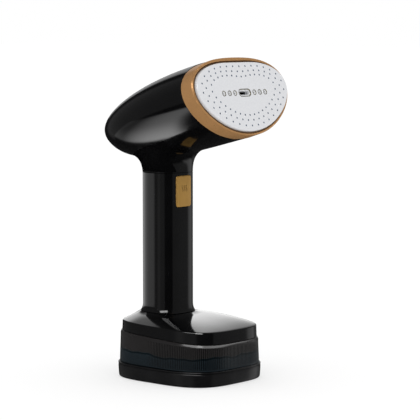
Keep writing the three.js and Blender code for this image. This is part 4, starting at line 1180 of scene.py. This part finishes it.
def far_card(name, az, el, strength, receivers, distance=3.0):
    """A curved card three metres away over a range of bearings and heights."""
    nu, nv = int((az[1] - az[0]) / 2) + 2, int((el[1] - el[0]) / 2) + 2
    a, e = np.meshgrid(np.linspace(*az, nu), np.linspace(*el, nv))
    a, e = a.ravel(), e.ravel()
    ar, er = np.radians(a), np.radians(e)
    pts = np.stack([np.cos(er) * np.sin(ar), np.cos(er) * np.cos(ar), np.sin(er)], 1) * distance + np.array([0, 0, 0.1])
    glow(name, pts, grid(nu, nv), strength(a, e), receivers)


# white board lying on the floor behind and to the left, which the head's lower flank looks down on
gx, gy = np.meshgrid(np.linspace(-0.26, 0.03, 30), np.linspace(0.06, 0.42, 37))
gx, gy = gx.ravel(), gy.ravel()
power = 2.35 * smooth(gy, 0.068, 0.098) * smooth(gx, 0.022, 0.004) * smooth(gx, -0.245, -0.215)
power *= (0.12 + 0.88 * smooth(gy, 0.30, 0.10)) * (0.58 + 0.42 * smooth(gx, -0.13, -0.02))
glow("floor_board", np.column_stack([gx, gy, np.full(len(gx), 0.0006)]), grid(30, 37), power, ["head_housing"])

# tall softbox behind on the right, low bounce strip behind on the left, key patch and side softbox
far_card("cover_softbox", (8, 66), (-2, 56), lambda a, e: 1.2 * smooth(a, 28, 34) * smooth(a, 47, 42) * smooth(e, 31, 24) + 1.45 * smooth(a, 44, 48) * smooth(a, 60.5, 51) * smooth(e, 54, 43), ["base_cover_shell"])
far_card("handle_strip", (-56, 24), (-16, 4), lambda a, e: (0.6 + 0.8 * smooth(a, -48, -5)) * smooth(a, -52, -48) * smooth(a, 22, 10) * smooth(e, -16, -12) * smooth(e, 4, 1), ["handle_back_half", "handle_front_half"])
far_card("cover_key", (-140, -106), (4, 40), lambda a, e: 15.0 * smooth(a, -139, -134) * smooth(a, -107, -112) * smooth(e, 5, 10) * smooth(e, 39, 32), ["base_cover_shell"])
far_card("tank_side", (92, 250), (10, 66), lambda a, e: 4.6 * smooth(a, 94, 104) * smooth(a, 248, 238) * smooth(e, 13, 18) * smooth(e, 64, 56), ["tank_smoked_cup"])

def neck_flag():
    """Black flag hung close to the left of the neck, so that the neck and the head's underside mirror nothing bright."""
    ys = np.linspace(47, -4, 28)
    pts = []
    for k in np.linspace(0, 1, 12):
        for y in ys:
            z = 168.6 + (182.6 - 0.273 * (y - 39.4) - 168.6) * k
            x = np.arange(-70, 0, 0.5)
            hit = np.where(housing(np.stack([x, np.full(len(x), y), np.full(len(x), z)], 1)) < 0)[0]
            pts.append(((x[hit[0]] if len(hit) else -14.0) - 2.6, y, z))
    me = bpy.data.meshes.new("neck_flag")
    me.from_pydata((np.array(pts) * MM).tolist(), [], grid(28, 12))
    ob = bpy.data.objects.new("neck_flag", me)
    bpy.context.scene.collection.objects.link(ob)
    m, nt2, out2 = plain("flag_black")
    d = nt2.nodes.new("ShaderNodeBsdfDiffuse")
    d.inputs["Color"].default_value = (0.002, 0.002, 0.002, 1)
    link(nt2, d.outputs[0], out2.inputs["Surface"])
    me.materials.append(m)
    ob.visible_camera = ob.visible_diffuse = ob.visible_shadow = ob.visible_transmission = ob.visible_volume_scatter = False


neck_flag()

scene = bpy.context.scene
scene.view_settings.view_transform = "Standard"
scene.view_settings.look = "None"
scene.view_settings.exposure = 0.0
scene.view_settings.gamma = 1.0
